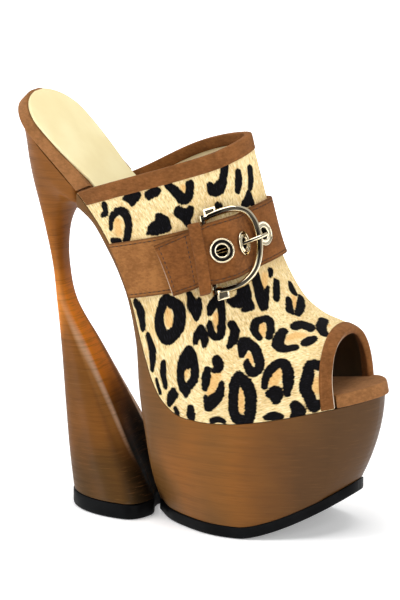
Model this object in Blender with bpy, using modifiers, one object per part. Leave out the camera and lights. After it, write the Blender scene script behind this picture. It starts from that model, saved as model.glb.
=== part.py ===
"""Right-foot platform clog with a peep toe, an open back and a buckled strap over the instep.

The tables are in millimetres and the meshes in metres. X runs from heel to toe, Y from the outer
(lateral) side to the inner (medial) side, Z up. The origin is on the floor under the ball of the foot.
"""

import math

import bmesh
import bpy
import numpy as np
from mathutils import Matrix

MM = 0.001

# Driving dimensions
GAP = 0.3
BED_THICK = 6.0
BED_EASE = 1.2
HEEL_ROUND = 14.4
TOE_ROUND = 14.0
SOCK_THICK = 1.2
SOCK_MARGIN = 1.2
SOCK_EASE = 0.4
SOCK_ROUND = 13.0
SOCK_END = -30.0
UPPER_WALL = 2.2
WOOD_MARGIN = 0.1
OUTSOLE_THICK = 5.2
OUTSOLE_PROUD = 0.7
OUTSOLE_EASE = 0.8
OUTSOLE_ROUND = 10.0
HOLLOW_HALF = 0.6
TIP_PROUD = 0.4
TIP_EASE = 0.9
TOE_SPRING = 18.5
SPRING_START = 3.0
SPRING_REACH = 43.5
SPRING_POWER = 1.5
LEAST_HALF = 1.2
COLLAR_WIDTH = 7.2
TOE_WIDTH = 6.0
BINDING_INSIDE = 5.0
BINDING_THICK = 1.0
BINDING_CLEAR = 0.004
STRAP_THICK = 2.2
STRAP_HALF = 13.75
STRAP_CLEAR = 0.9
KEEPER_START = 36.8
KEEPER_END = 41.4
KEEPER_THICK = 1.4
KEEPER_NEAR = 0.6
KEEPER_FAR = 2.6
BAR_REACH = 43.6
BAR_RISE = 3.1
WIRE_RADIUS = 1.5
PRONG_RADIUS = 0.9
PRONG_SLOT = 3.0
SLOT_TOP = 8.0
EYELET_HOLE = 3.4
EYELET_STEPS = 16

# The footbed is narrower between the walls of the upper, and full again clear of the bindings
STEP_IN = UPPER_WALL + BINDING_THICK + 3 * GAP
STEP_BEHIND = 1.25
STEP_AHEAD = 1.7
STEP_RAMP = 0.3
SOCK_TAPER = 22.0

# Colours of the plain materials
WOOD = (0.36, 0.17, 0.07)
RUBBER = (0.02, 0.02, 0.02)
SUEDE = (0.26, 0.13, 0.06)
CREAM = (0.78, 0.72, 0.60)
PELT = (0.62, 0.44, 0.22)
METAL = (0.86, 0.80, 0.62)


def table(columns, rows):
    """Column name to the numbers of that column, one for each row."""
    return dict(zip(columns.split(), np.array(rows, float).T))


# Top of the footbed on its centre line and its half widths, from the heel to the toe
BED = table("x z lateral medial", [
    (-120.0, 196.0, 24.0, 24.0),
    (-99.0, 175.0, 24.5, 24.5),
    (-87.0, 163.0, 24.5, 24.5),
    (-78.5, 154.3, 25.0, 25.0),
    (-70.0, 145.0, 26.5, 26.5),
    (-62.0, 134.5, 28.5, 28.0),
    (-54.0, 121.5, 31.0, 30.5),
    (-47.0, 105.5, 33.5, 32.5),
    (-40.5, 86.0, 36.0, 34.5),
    (-34.0, 70.3, 38.0, 36.0),
    (-27.0, 62.8, 39.3, 37.0),
    (-18.0, 60.6, 40.0, 37.8),
    (-5.0, 60.4, 40.0, 38.0),
    (10.0, 62.2, 38.0, 37.2),
    (27.0, 65.3, 31.0, 32.5),
    (41.0, 68.2, 23.5, 25.5),
    (50.0, 70.1, 18.5, 20.5),
    (59.0, 72.0, 13.0, 15.0),
])

# Sections of the upper, from the collar to the peep toe: where each one leaves the footbed, its ridge,
# how far its sides swell past the feather edge and how high up, how full the curve is on each side of
# the ridge, and how far the inner side rises
UPPER = table(
    "bed_x ridge_x ridge_y ridge_z swell_lateral swell_medial swell_height full_lateral full_medial rise", [
        (-81.0, -14.0, 11.0, 180.5, 4.0, 4.0, 0.30, 2.00, 2.05, 3.5),
        (-65.0, -7.5, 13.5, 153.0, 2.5, 3.0, 0.26, 2.00, 2.05, 1.7),
        (-50.5, 0.0, 13.5, 126.6, 1.0, 1.5, 0.24, 2.00, 2.05, 0.5),
        (-36.0, 11.0, 11.5, 108.0, 0.6, 0.8, 0.22, 2.00, 2.05, 0.0),
        (-18.0, 22.0, 7.0, 100.4, 0.5, 0.5, 0.25, 2.00, 2.00, 0.0),
        (9.0, 31.5, 4.0, 97.0, 0.5, 0.5, 0.25, 2.10, 2.10, 0.0),
        (42.5, 40.5, 3.0, 94.5, 0.5, 0.5, 0.25, 2.20, 2.20, 0.0),
    ])
COLLAR_X = UPPER["bed_x"][0]
TOE_X = UPPER["bed_x"][-1]
LAST_ROW = len(UPPER["bed_x"]) - 1

# How far the collar's edge is cut below the first section of the upper, as a share of a row
COLLAR_DIP = table("arch row", [
    (0.00, 0.00),
    (0.10, 0.02),
    (0.20, 0.06),
    (0.30, 0.10),
    (0.40, 0.12),
    (0.48, 0.08),
    (0.56, 0.02),
    (0.64, 0.00),
    (1.00, 0.00),
])

# Platform: where each section starts on the footbed, where it ends below, its rise over the outsole,
# the half widths there, and how late its sides draw in and its toe turns back
PLATFORM = table("bed_x under_x under_rise lateral medial bulge curl", [
    (-81.3, -85.8, 140.3, 24.0, 24.0, 4.0, 1.0),
    (-76.5, -83.6, 139.3, 24.5, 24.5, 4.0, 1.0),
    (-70.0, -76.7, 133.7, 25.5, 25.5, 4.0, 1.0),
    (-62.0, -69.2, 123.9, 27.5, 27.0, 4.0, 1.0),
    (-54.0, -61.7, 111.8, 29.0, 28.5, 4.0, 1.0),
    (-47.5, -55.6, 97.5, 29.0, 28.0, 4.0, 1.0),
    (-44.0, -52.5, 72.5, 22.0, 21.0, 3.0, 1.0),
    (-40.5, -53.0, 45.5, 16.0, 15.0, 3.0, 1.0),
    (-36.5, -52.5, 22.0, 11.0, 10.0, 2.6, 1.0),
    (-33.0, -51.0, 0.0, 7.0, 7.0, 2.2, 1.0),
    (-28.0, -41.0, 0.0, 19.0, 18.0, 1.8, 1.0),
    (-21.0, -28.0, 0.0, 28.5, 26.0, 1.6, 1.0),
    (-10.0, -12.0, 0.0, 36.0, 33.0, 1.5, 1.0),
    (5.0, 3.0, 0.0, 37.0, 35.5, 1.5, 1.0),
    (25.0, 20.0, 0.0, 31.0, 32.0, 1.6, 1.3),
    (40.3, 33.0, 0.0, 23.5, 25.5, 1.6, 1.7),
    (48.6, 40.0, 0.0, 18.5, 20.0, 1.6, 1.9),
    (56.6, 46.5, 0.0, 13.0, 14.5, 1.6, 1.9),
])
ON_SOLE = PLATFORM["under_rise"] == 0.0

# Heel: back and front of each ring in side view, its half width, where along it is widest, how square
# its back and front are, and how deep the middle of its front is hollowed to clear the platform
HEEL = table("back_x back_z front_x front_z half widest back_square front_square hollow", [
    (-97.7, 7.3, -50.3, 7.3, 29.8, 0.78, 1.95, 2.9, 6.0),
    (-99.2, 18.0, -56.8, 18.5, 26.0, 0.78, 2.05, 2.8, 4.0),
    (-100.6, 30.0, -64.8, 31.0, 22.0, 0.77, 2.15, 2.7, 2.0),
    (-103.0, 51.0, -76.5, 53.5, 15.6, 0.75, 2.2, 2.6, 0.0),
    (-105.2, 73.0, -88.4, 75.5, 10.4, 0.72, 2.2, 2.6, 0.0),
    (-107.4, 94.0, -99.8, 95.0, 7.0, 0.65, 2.2, 2.5, 0.0),
    (-109.5, 112.0, -103.3, 112.5, 6.0, 0.60, 2.2, 2.4, 0.0),
    (-112.5, 129.0, -103.3, 126.5, 7.8, 0.50, 2.2, 2.2, 0.0),
    (-115.0, 143.0, -101.5, 136.0, 11.5, 0.50, 2.2, 2.2, 0.0),
    (-117.5, 157.0, -96.8, 143.3, 16.5, 0.50, 2.2, 2.4, 0.0),
    (-119.3, 168.5, -91.5, 145.5, 20.5, 0.55, 2.2, 3.0, 0.0),
    (-120.6, 177.5, -86.3, 145.8, 23.0, 0.60, 2.2, 5.0, 0.0),
    (-122.0, 189.05, -86.2, 153.25, 24.5, 0.60, 2.3, 9.0, 0.0),
])

# Centre line of the straps over the upper, as a share of the arch and a row of its table
STRAP_PATH = table("arch row", [
    (0.00, 1.72),
    (0.22, 1.74),
    (0.34, 1.72),
    (0.46, 1.64),
    (0.58, 1.60),
    (0.78, 1.65),
    (1.00, 1.72),
])

# How far the lines across the straps lean back towards their lateral end, for each millimetre across
STRAP_LEAN = table("reach lean", [
    (0.0, 0.0),
    (24.0, 0.0),
    (36.0, 0.17),
    (74.0, 0.17),
    (105.0, 0.0),
    (170.0, 0.0),
])

# Lower strap along its length: its underside and its top, folded round the bar at the end
BUCKLE_STRAP = table("reach low high", [
    (0.0, 0.3, 2.5),
    (33.5, 0.3, 2.5),
    (36.5, 0.3, 3.3),
    (40.5, 0.3, 5.5),
    (43.6, 0.3, 5.9),
    (45.4, 0.6, 5.5),
    (46.5, 1.4, 4.7),
])

# Upper strap along its length, from its tip: the lift of its underside and its two edges
BILLET = table("reach lift near_edge far_edge", [
    (23.0, 2.8, -9.5, 15.5),
    (30.5, 2.8, -11.3, 14.7),
    (34.5, 3.2, -12.3, 14.3),
    (40.5, 6.1, -13.5, 13.8),
    (43.6, 6.7, -14.3, 14.7),
    (46.5, 7.5, -14.5, 15.0),
    (49.0, 8.0, -14.5, 15.0),
    (52.0, 7.6, -14.5, 15.0),
    (55.0, 5.8, -14.2, 14.6),
    (58.6, 3.6, -13.8, 14.0),
    (61.5, 1.6, -13.75, 13.75),
    (64.0, 0.6, -13.75, 13.75),
    (67.5, 0.5, -13.75, 13.75),
    (150.0, 0.5, -13.75, 13.75),
])

# Frame of the buckle round its bow, from one end of the bar to the other
BOW = table("reach across rise", [
    (43.6, -16.4, 3.1),
    (46.5, -17.2, 3.7),
    (51.5, -17.6, 4.6),
    (57.0, -16.8, 5.5),
    (62.3, -13.4, 5.9),
    (65.8, -8.0, 5.8),
    (67.4, -2.0, 5.7),
    (67.4, 3.0, 5.7),
    (65.8, 8.6, 5.8),
    (62.3, 13.8, 5.9),
    (57.0, 17.2, 5.5),
    (51.5, 18.0, 4.6),
    (46.5, 17.6, 3.7),
    (43.6, 17.0, 3.1),
])

# Square lugs at the two ends of the bar
LUGS = table("near far", [
    (-16.8, -21.2),
    (17.6, 22.0),
])
LUG_START = 0.4
LUG_END = 5.0
LUG_LOW = 2.0
LUG_HIGH = 5.0

# Prong: its hook over the bar, its way up through the eyelet and over the bow
PRONG = table("reach rise", [
    (41.5, 1.9),
    (40.95, 3.1),
    (41.6, 4.9),
    (43.6, 5.75),
    (46.2, 5.4),
    (50.0, 4.5),
    (54.6, 3.8),
    (56.6, 4.0),
    (58.7, 5.2),
    (60.4, 6.5),
    (62.6, 7.6),
    (67.3, 8.4),
    (70.0, 8.2),
])

# Eyelets along the billet strap, and their turned outline over the strap's top
EYELETS = table("reach", [(47.6,), (58.9,), (73.3,)])
EYELET_OUTLINE = table("radius height", [
    (3.1, -1.6),
    (2.7, -1.6),
    (2.7, 0.5),
    (3.3, 1.15),
    (4.0, 0.85),
    (4.8, 0.75),
    (5.4, 1.1),
    (5.7, 0.65),
    (3.1, 0.3),
])


def smooth(keys, values, at):
    """Smooth curve through the values at rising keys, read at other keys."""
    keys = np.asarray(keys, float)
    values = np.asarray(values, float)
    at = np.asarray(at, float)
    step = np.diff(keys)
    slope = np.diff(values) / step
    tangent = np.empty_like(values)
    tangent[0] = slope[0]
    tangent[-1] = slope[-1]
    tangent[1:-1] = (slope[:-1] * step[1:] + slope[1:] * step[:-1]) / (step[1:] + step[:-1])
    i = np.clip(np.searchsorted(keys, at, side="right") - 1, 0, len(keys) - 2)
    u = (at - keys[i]) / step[i]
    rest = 1.0 - u
    ends = values[i] * rest**2 * (1 + 2 * u) + values[i + 1] * u**2 * (1 + 2 * rest)
    return ends + step[i] * u * rest * (tangent[i] * rest - tangent[i + 1] * u)


def table_row(columns, row):
    """Every column of a table at a row number that may lie between two rows."""
    index = np.arange(len(next(iter(columns.values()))))
    return {name: float(smooth(index, column, row)) for name, column in columns.items()}


def rounded(distance, reach):
    """Share of the full half width left at a distance from a rounded end."""
    share = np.clip(np.asarray(distance, float) / reach, 0.0, 1.0)
    return np.sqrt(1.0 - (1.0 - share) ** 2)


# Meshes and materials

def finish(name, colour, roughness, metallic=0.0):
    """Plain Principled material of one sub-part."""
    material = bpy.data.materials.new(name)
    material.use_nodes = True
    shader = material.node_tree.nodes["Principled BSDF"]
    shader.inputs["Base Color"].default_value = (*colour, 1.0)
    shader.inputs["Roughness"].default_value = roughness
    shader.inputs["Metallic"].default_value = metallic
    return material


def add_part(name, mesh, material):
    """Places a mesh in the clog's collection with its own material."""
    obj = bpy.data.objects.new(name, mesh)
    bpy.data.collections["platform_clog"].objects.link(obj)
    mesh.materials.clear()
    mesh.materials.append(material)
    mesh.shade_smooth()
    mesh.set_sharp_from_angle(angle=math.radians(40))
    return obj


def add_cutter(name, mesh):
    """Places a mesh that only cuts another piece."""
    obj = bpy.data.objects.new(name, mesh)
    bpy.data.collections["cutters"].objects.link(obj)
    obj.display_type = "WIRE"
    obj.hide_render = True
    return obj


def combine(obj, other, operation):
    """Boolean of another mesh object into this one."""
    modifier = obj.modifiers.new(other.name, "BOOLEAN")
    modifier.operation = operation
    modifier.solver = "EXACT"
    modifier.object = other


def skin_mesh(name, rings, wall=False):
    """Closed skin through rings of equal point counts in millimetres, as a mesh in metres.

    The end rings are filled with one face, or between their two halves if they belong to a wall.
    """
    skin = bmesh.new()
    rows = [[skin.verts.new([float(c) * MM for c in point]) for point in ring] for ring in rings]
    count = len(rows[0])
    for first, second in zip(rows, rows[1:]):
        for k in range(count):
            following = (k + 1) % count
            skin.faces.new((first[k], first[following], second[following], second[k]))
    for row in (rows[0], rows[-1]):
        if wall:
            for k in range(count // 2 - 1):
                skin.faces.new((row[k], row[k + 1], row[count - 2 - k], row[count - 1 - k]))
        else:
            skin.faces.new(row)
    bmesh.ops.recalc_face_normals(skin, faces=skin.faces)
    mesh = bpy.data.meshes.new(name)
    skin.to_mesh(mesh)
    skin.free()
    return mesh


def tube_mesh(name, points, radius, closed, sides):
    """Round wire along points in millimetres, as a mesh in metres."""
    curve = bpy.data.curves.new(name, "CURVE")
    curve.dimensions = "3D"
    curve.bevel_depth = radius * MM
    curve.bevel_resolution = sides // 2 - 2
    curve.use_fill_caps = True
    line = curve.splines.new("POLY")
    line.points.add(len(points) - 1)
    for place, point in zip(line.points, points):
        place.co = (*(float(c) * MM for c in point), 1.0)
    line.use_cyclic_u = closed
    wire = bpy.data.objects.new(name, curve)
    mesh = bpy.data.meshes.new_from_object(wire)
    bpy.data.objects.remove(wire)
    tidy = bmesh.new()
    tidy.from_mesh(mesh)
    bmesh.ops.remove_doubles(tidy, verts=tidy.verts, dist=1e-6)
    bmesh.ops.recalc_face_normals(tidy, faces=tidy.faces)
    tidy.to_mesh(mesh)
    tidy.free()
    return mesh


# Footbed and insole

def bed_point(x, drop=0.0):
    """Side-view point on the footbed's top at x, moved down its normal by drop."""
    x = np.asarray(x, float)
    z = smooth(BED["x"], BED["z"], x)
    probe = 0.05
    slope = (smooth(BED["x"], BED["z"], x + probe) - smooth(BED["x"], BED["z"], x - probe)) / (2 * probe)
    length = np.sqrt(1.0 + slope**2)
    return x + drop * slope / length, z - drop / length


def bed_half(x, side):
    """Half width of the footbed at x, before its ends are rounded."""
    return smooth(BED["x"], BED[side], x)


def footbed_half(x):
    """Half widths of the footbed: full where it shows, narrower between the walls of the upper."""
    behind = np.clip((COLLAR_X - STEP_BEHIND - x) / STEP_RAMP, 0.0, 1.0)
    ahead = np.clip((x - TOE_X - STEP_AHEAD) / STEP_RAMP, 0.0, 1.0)
    narrow = STEP_IN * (1.0 - np.maximum(behind, ahead))
    shape = np.minimum(rounded(x - BED["x"][0], HEEL_ROUND), rounded(BED["x"][-1] - x, TOE_ROUND))
    halves = [bed_half(x, side) * shape - narrow for side in ("lateral", "medial")]
    return [max(float(half), LEAST_HALF) for half in halves]


def insole_half(x):
    """Half widths of the insole: a margin inside the footbed's edge, drawn in before the collar."""
    shape = float(rounded(x - BED["x"][0] - SOCK_MARGIN, SOCK_ROUND))
    drawn = np.clip((x - COLLAR_X + STEP_BEHIND + STEP_RAMP) / SOCK_TAPER + 1.0, 0.0, 1.0)
    margin = SOCK_MARGIN + STEP_IN * float(drawn) ** 2
    return [max(float(bed_half(x, side)) * shape - margin, LEAST_HALF) for side in ("lateral", "medial")]


def stations(start, end, rows, start_round, end_round, extra=()):
    """X places between two ends, closer together where an end is rounded."""
    x = np.linspace(start, end, rows)
    curve = 1.0 - np.cos(np.linspace(0.0, math.pi / 2, 6))
    inside = (x > start + start_round) & (x < end - end_round)
    near = start + start_round * curve if start_round else [start]
    far = end - end_round * curve if end_round else [end]
    return np.unique(np.concatenate([near, x[inside], far, extra]))


def slab(name, places, top, bottom, half, ease, across, material):
    """Slab along the footbed between two drops below its top, with eased edges."""
    rings = []
    spread = np.linspace(-1.0, 1.0, across + 1)
    for x in places:
        lateral, medial = half(x)
        flat = spread * (np.where(spread > 0.0, medial, lateral) - min(ease, LEAST_HALF / 2))
        levels = [bed_point(x, drop) for drop in (top, top + ease, bottom - ease, bottom)]
        ring = [(levels[0][0], y, levels[0][1]) for y in flat]
        ring += [(level_x, medial, level_z) for level_x, level_z in levels[1:3]]
        ring += [(levels[3][0], y, levels[3][1]) for y in flat[::-1]]
        ring += [(level_x, -lateral, level_z) for level_x, level_z in levels[2:0:-1]]
        rings.append(ring)
    add_part(name, skin_mesh(name, rings), material)


def bed_places():
    """X places of the footbed's sections, with those where it steps in and where the insole ends."""
    steps = [COLLAR_X - STEP_BEHIND - STEP_RAMP, COLLAR_X - STEP_BEHIND, SOCK_END]
    steps += [TOE_X + STEP_AHEAD, TOE_X + STEP_AHEAD + STEP_RAMP]
    return stations(BED["x"][0] + GAP, BED["x"][-1] - GAP, 29, HEEL_ROUND, TOE_ROUND, steps)


def make_footbed():
    x = bed_places()
    slab("footbed", x, 0.0, BED_THICK, footbed_half, BED_EASE, 4, finish("footbed suede", SUEDE, 0.9))


def make_insole():
    start = BED["x"][0] + SOCK_MARGIN + GAP
    x = bed_places()
    shared = x[(x > start + SOCK_ROUND) & (x <= SOCK_END)]
    x = np.concatenate([stations(start, start + SOCK_ROUND, 2, SOCK_ROUND, 0.0), shared])
    cream = finish("insole cream", CREAM, 0.6)
    slab("insole", x, -GAP - SOCK_THICK, -GAP, insole_half, SOCK_EASE, 2, cream)


# Platform, outsole and heel

def sole_line(x):
    """Height of the outsole's underside at x: flat under the ball, rising to the toe."""
    reach = np.clip((np.asarray(x, float) - SPRING_START) / SPRING_REACH, 0.0, None)
    return TOE_SPRING * reach**SPRING_POWER


def platform_ring(row):
    """Ring of the platform at a row of its table, from the shank's top to the toe."""
    value = table_row(PLATFORM, row)
    top_x, top_z = bed_point(value["bed_x"], BED_THICK + GAP)
    low_x = value["under_x"]
    low_z = max(value["under_rise"], 0.0) + float(sole_line(low_x)) + OUTSOLE_THICK + GAP
    toe = float(rounded(PLATFORM["bed_x"][-1] + WOOD_MARGIN - value["bed_x"], TOE_ROUND))
    spread = np.linspace(-1.0, 1.0, 5)
    depth = np.linspace(0.0, 1.0, 7)[1:]
    x = top_x + (low_x - top_x) * depth ** value["curl"]
    sides = {}
    for side, sign in (("lateral", -1.0), ("medial", 1.0)):
        high = max((float(bed_half(value["bed_x"], side)) + WOOD_MARGIN) * toe, LEAST_HALF)
        low = max(value[side] * toe, LEAST_HALF)
        y = low + (high - low) * (1.0 - depth ** value["bulge"])
        drawn = np.stack([x, sign * y, top_z + (low_z - top_z) * depth], -1)
        sides[side] = (high, low, drawn)
    top = [sides["medial" if v > 0 else "lateral"][0] * v for v in spread]
    low = [sides["medial" if v > 0 else "lateral"][1] * v for v in spread]
    ring = [(top_x, y, top_z) for y in top] + list(sides["medial"][2])
    ring += [(low_x, y, low_z) for y in low[-2:0:-1]]
    return ring + list(sides["lateral"][2][::-1])


def make_platform():
    last = len(PLATFORM["bed_x"]) - 1
    toe = last - 1 + np.sin(np.linspace(0.0, math.pi / 2, 6))
    rows = np.concatenate([np.arange(0, 6, 1.0), np.arange(6, last - 1, 0.5), toe])
    rings = [platform_ring(row) for row in rows]
    add_part("platform", skin_mesh("platform", rings), finish("platform wood", WOOD, 0.45))


def outsole_half(x, side):
    """Half width of the outsole at x, from the platform's own underside."""
    half = smooth(PLATFORM["under_x"][ON_SOLE], PLATFORM[side][ON_SOLE], x)
    toe = rounded(PLATFORM["under_x"][-1] + OUTSOLE_PROUD - x, OUTSOLE_ROUND)
    return max(float(half * toe), LEAST_HALF) + OUTSOLE_PROUD


def make_outsole():
    start = PLATFORM["under_x"][ON_SOLE][0] - OUTSOLE_PROUD
    end = PLATFORM["under_x"][-1] + OUTSOLE_PROUD
    rings = []
    for x in stations(start, end, 18, 0.0, OUTSOLE_ROUND, [SPRING_START]):
        lateral = outsole_half(x, "lateral")
        medial = outsole_half(x, "medial")
        low = float(sole_line(x))
        high = low + OUTSOLE_THICK
        eased = low + OUTSOLE_EASE
        ring = [(x, -lateral, high), (x, medial, high), (x, medial, eased)]
        ring += [(x, medial - OUTSOLE_EASE, low), (x, OUTSOLE_EASE - lateral, low), (x, -lateral, eased)]
        rings.append(ring)
    add_part("outsole", skin_mesh("outsole", rings), finish("outsole rubber", RUBBER, 0.7))


def heel_ring(row, shift=0.0, grow=0.0, count=26):
    """Ring of the heel at a row of its table, from the base to the seat, moved up and grown."""
    value = table_row(HEEL, row)
    span_x = value["front_x"] - value["back_x"]
    span_z = value["front_z"] - value["back_z"]
    widest = value["widest"]
    points = []
    for k in range(count):
        cosine = math.cos(2 * math.pi * k / count)
        sine = math.sin(2 * math.pi * k / count)
        square = value["front_square"] if cosine > 0 else value["back_square"]
        reach = 1.0 - widest if cosine > 0 else widest
        along = widest + math.copysign(abs(cosine) ** (2 / square), cosine) * reach
        across = math.copysign(abs(sine) ** (2 / square), sine)
        middle = max(1.0 - (across / HOLLOW_HALF) ** 2, 0.0) if cosine > 0 else 0.0
        x = value["back_x"] + along * span_x - value["hollow"] * middle**2 + (2 * along - 1) * grow
        points.append((x, across * (value["half"] + grow), value["back_z"] + along * span_z + shift))
    return points


def make_heel():
    rings = [heel_ring(row) for row in np.linspace(0.0, len(HEEL["half"]) - 1, 21)]
    add_part("heel", skin_mesh("heel", rings), finish("heel wood", WOOD, 0.45))
    base = HEEL["back_z"][0]
    tip = [heel_ring(0.0, -GAP, TIP_PROUD), heel_ring(0.0, TIP_EASE - base, TIP_PROUD)]
    tip.append(heel_ring(0.0, -base, TIP_PROUD - TIP_EASE))
    add_part("heel_tip", skin_mesh("heel_tip", tip), finish("heel tip rubber", RUBBER, 0.6))


# Upper

SECTION_SAMPLES = 240
ROW_SAMPLES = 120


def section_curve(row):
    """Outer curve of the upper at a row number of its table, evenly spaced by length."""
    value = table_row(UPPER, row)
    foot_x, foot_z = (float(v) for v in bed_point(value["bed_x"], BED_THICK))
    height = math.hypot(value["ridge_x"] - foot_x, value["ridge_z"] - foot_z)
    along_x = (value["ridge_x"] - foot_x) / height
    along_z = (value["ridge_z"] - foot_z) / height
    swell_height = value["swell_height"] * height
    low = np.linspace(0.0, 1.0, SECTION_SAMPLES // 4, endpoint=False)
    turn = np.linspace(0.0, math.pi / 2, SECTION_SAMPLES)
    halves = []
    for side, sign in (("lateral", -1.0), ("medial", 1.0)):
        feather = float(bed_half(value["bed_x"], side))
        widest = feather + value["swell_" + side]
        power = 2.0 / value["full_" + side]
        ridge_y = sign * value["ridge_y"]
        below = feather + (widest - feather) * np.sin(low * math.pi / 2)
        y = np.concatenate([below, ridge_y + (widest - ridge_y) * np.cos(turn) ** power])
        above = swell_height + (height - swell_height) * np.sin(turn) ** power
        h = np.concatenate([low * swell_height, above])
        halves.append((sign * y, h))
    y = np.concatenate([halves[0][0], halves[1][0][::-1][1:]])
    h = np.concatenate([halves[0][1], halves[1][1][::-1][1:]])
    length = np.concatenate([[0.0], np.cumsum(np.hypot(np.diff(y), np.diff(h)))])
    arch = np.linspace(0.0, 1.0, SECTION_SAMPLES + 1)
    y = np.interp(arch * length[-1], length, y)
    h = np.interp(arch * length[-1], length, h)
    rise = value["rise"] * np.where(arch > 0.5, np.sin(2 * math.pi * arch) ** 2, 0.0)
    x = foot_x + along_x * h - along_z * rise
    z = foot_z + along_z * h + along_x * rise
    return np.stack([x, y, z], axis=-1)


def grid_normals(grid):
    """Unit normals of a surface grid, pointing out of the foot."""
    along = np.gradient(grid, axis=0)
    around = np.gradient(grid, axis=1)
    normal = np.cross(along, around)
    return normal / np.linalg.norm(normal, axis=-1, keepdims=True)


UPPER_GRID = np.array([section_curve(row) for row in np.linspace(0.0, LAST_ROW, ROW_SAMPLES + 1)])
UPPER_NORMALS = grid_normals(UPPER_GRID)


def read_grid(grid, row, arch):
    """Value of a grid between its points, at a row of the table and a share of the arch."""
    i = np.clip(np.asarray(row, float) / LAST_ROW, 0.0, 1.0) * ROW_SAMPLES
    j = np.clip(np.asarray(arch, float), 0.0, 1.0) * SECTION_SAMPLES
    i0 = np.minimum(i.astype(int), ROW_SAMPLES - 1)
    j0 = np.minimum(j.astype(int), SECTION_SAMPLES - 1)
    u = (i - i0)[..., None]
    v = (j - j0)[..., None]
    near = grid[i0, j0] * (1 - v) + grid[i0, j0 + 1] * v
    far = grid[i0 + 1, j0] * (1 - v) + grid[i0 + 1, j0 + 1] * v
    return near * (1 - u) + far * u


def upper_point(row, arch, offset=0.0):
    """Point of the upper's outer face, moved out along its normal by an offset."""
    row, arch, offset = np.broadcast_arrays(np.asarray(row, float), np.asarray(arch, float), offset)
    normal = read_grid(UPPER_NORMALS, row, arch)
    normal = normal / np.linalg.norm(normal, axis=-1, keepdims=True)
    return read_grid(UPPER_GRID, row, arch) + normal * np.asarray(offset, float)[..., None]


def path_length(points):
    """Length along a row of points up to each one."""
    return np.concatenate([[0.0], np.cumsum(np.linalg.norm(np.diff(points, axis=0), axis=1))])


def row_at(row, arch, distance):
    """Row reached from another row by going a distance over the surface, towards the toe if positive."""
    rows = np.linspace(0.0, LAST_ROW, 4 * ROW_SAMPLES + 1)
    length = path_length(read_grid(UPPER_GRID, rows, np.full_like(rows, arch)))
    return float(np.interp(np.interp(row, rows, length) + distance, length, rows))


def collar_row(arch):
    """Row of the collar's edge at a share of the arch."""
    return np.maximum(smooth(COLLAR_DIP["arch"], COLLAR_DIP["row"], arch), 0.0)


def toe_row(arch):
    """Row of the peep toe's edge, the same all round."""
    return np.full_like(np.asarray(arch, float), LAST_ROW)


def make_upper():
    arches = np.linspace(0.0, 1.0, 29)
    collar = collar_row(arches)
    rings = []
    for share in np.linspace(0.0, 1.0, 21):
        rows = collar + (LAST_ROW - collar) * share
        outer = upper_point(rows, arches)
        inner = upper_point(rows, arches, -UPPER_WALL)[::-1]
        rings.append(np.concatenate([outer, inner]))
    add_part("upper", skin_mesh("upper", rings, wall=True), finish("upper pelt", PELT, 0.7))


def edge_point(edge_row, inward, arch, distance, offset):
    """Point a distance in from an open edge of the upper, or out past the edge if negative."""
    if distance >= 0.0:
        return upper_point(row_at(edge_row, arch, inward * distance), arch, offset)
    inside = upper_point(row_at(edge_row, arch, inward), arch)
    away = upper_point(edge_row, arch) - inside
    return upper_point(edge_row, arch, offset) - away * distance / np.linalg.norm(away)


def make_binding(name, edge, inward, width, arches):
    """Band folded over an open edge of the upper."""
    top = GAP + BINDING_THICK
    low = -UPPER_WALL - GAP
    bottom = low - BINDING_THICK
    past = -GAP - BINDING_THICK
    ease = BINDING_THICK / 2
    outline = [(width, GAP), (width, top), (0.0, top), (past + ease / 2, top - ease)]
    outline += [(past, -UPPER_WALL / 2), (past + ease / 2, bottom + ease), (0.0, bottom)]
    outline += [(BINDING_INSIDE, bottom), (BINDING_INSIDE, low), (-GAP, low), (-GAP, GAP)]
    rings = [[edge_point(float(edge(arch)), inward, arch, *place) for place in outline] for arch in arches]
    add_part(name, skin_mesh(name, rings), finish(name + " suede", SUEDE, 0.9))


def make_bindings():
    ends = (BINDING_CLEAR, 1.0 - BINDING_CLEAR)
    make_binding("collar_binding", collar_row, 1.0, COLLAR_WIDTH, np.linspace(*ends, 29))
    make_binding("toe_binding", toe_row, -1.0, TOE_WIDTH, np.linspace(*ends, 25))


# Straps and buckle

PATH_ARCH = np.linspace(0.0, 1.0, 401)
PATH_ROW = smooth(STRAP_PATH["arch"], STRAP_PATH["row"], PATH_ARCH)
PATH_LENGTH = path_length(read_grid(UPPER_GRID, PATH_ROW, PATH_ARCH))
STRAP_END = PATH_LENGTH[-1] - STRAP_CLEAR


def strap_point(reach, across, rise):
    """Point a length along the straps from the lateral end, across them towards the toe, over the upper."""
    lean = np.interp(reach, STRAP_LEAN["reach"], STRAP_LEAN["lean"])
    arch = float(np.interp(reach - lean * across, PATH_LENGTH, PATH_ARCH))
    row = row_at(float(np.interp(arch, PATH_ARCH, PATH_ROW)), arch, across)
    return upper_point(row, arch, rise)


def strap_value(columns, name, reach):
    """Column of a strap's table at a length along it."""
    keys = columns["reach"]
    return float(smooth(keys, columns[name], np.clip(reach, keys[0], keys[-1])))


def billet_top(reach):
    """Rise of the billet strap's top at a length along it."""
    return max(strap_value(BILLET, "lift", reach), GAP) + STRAP_THICK


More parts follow.
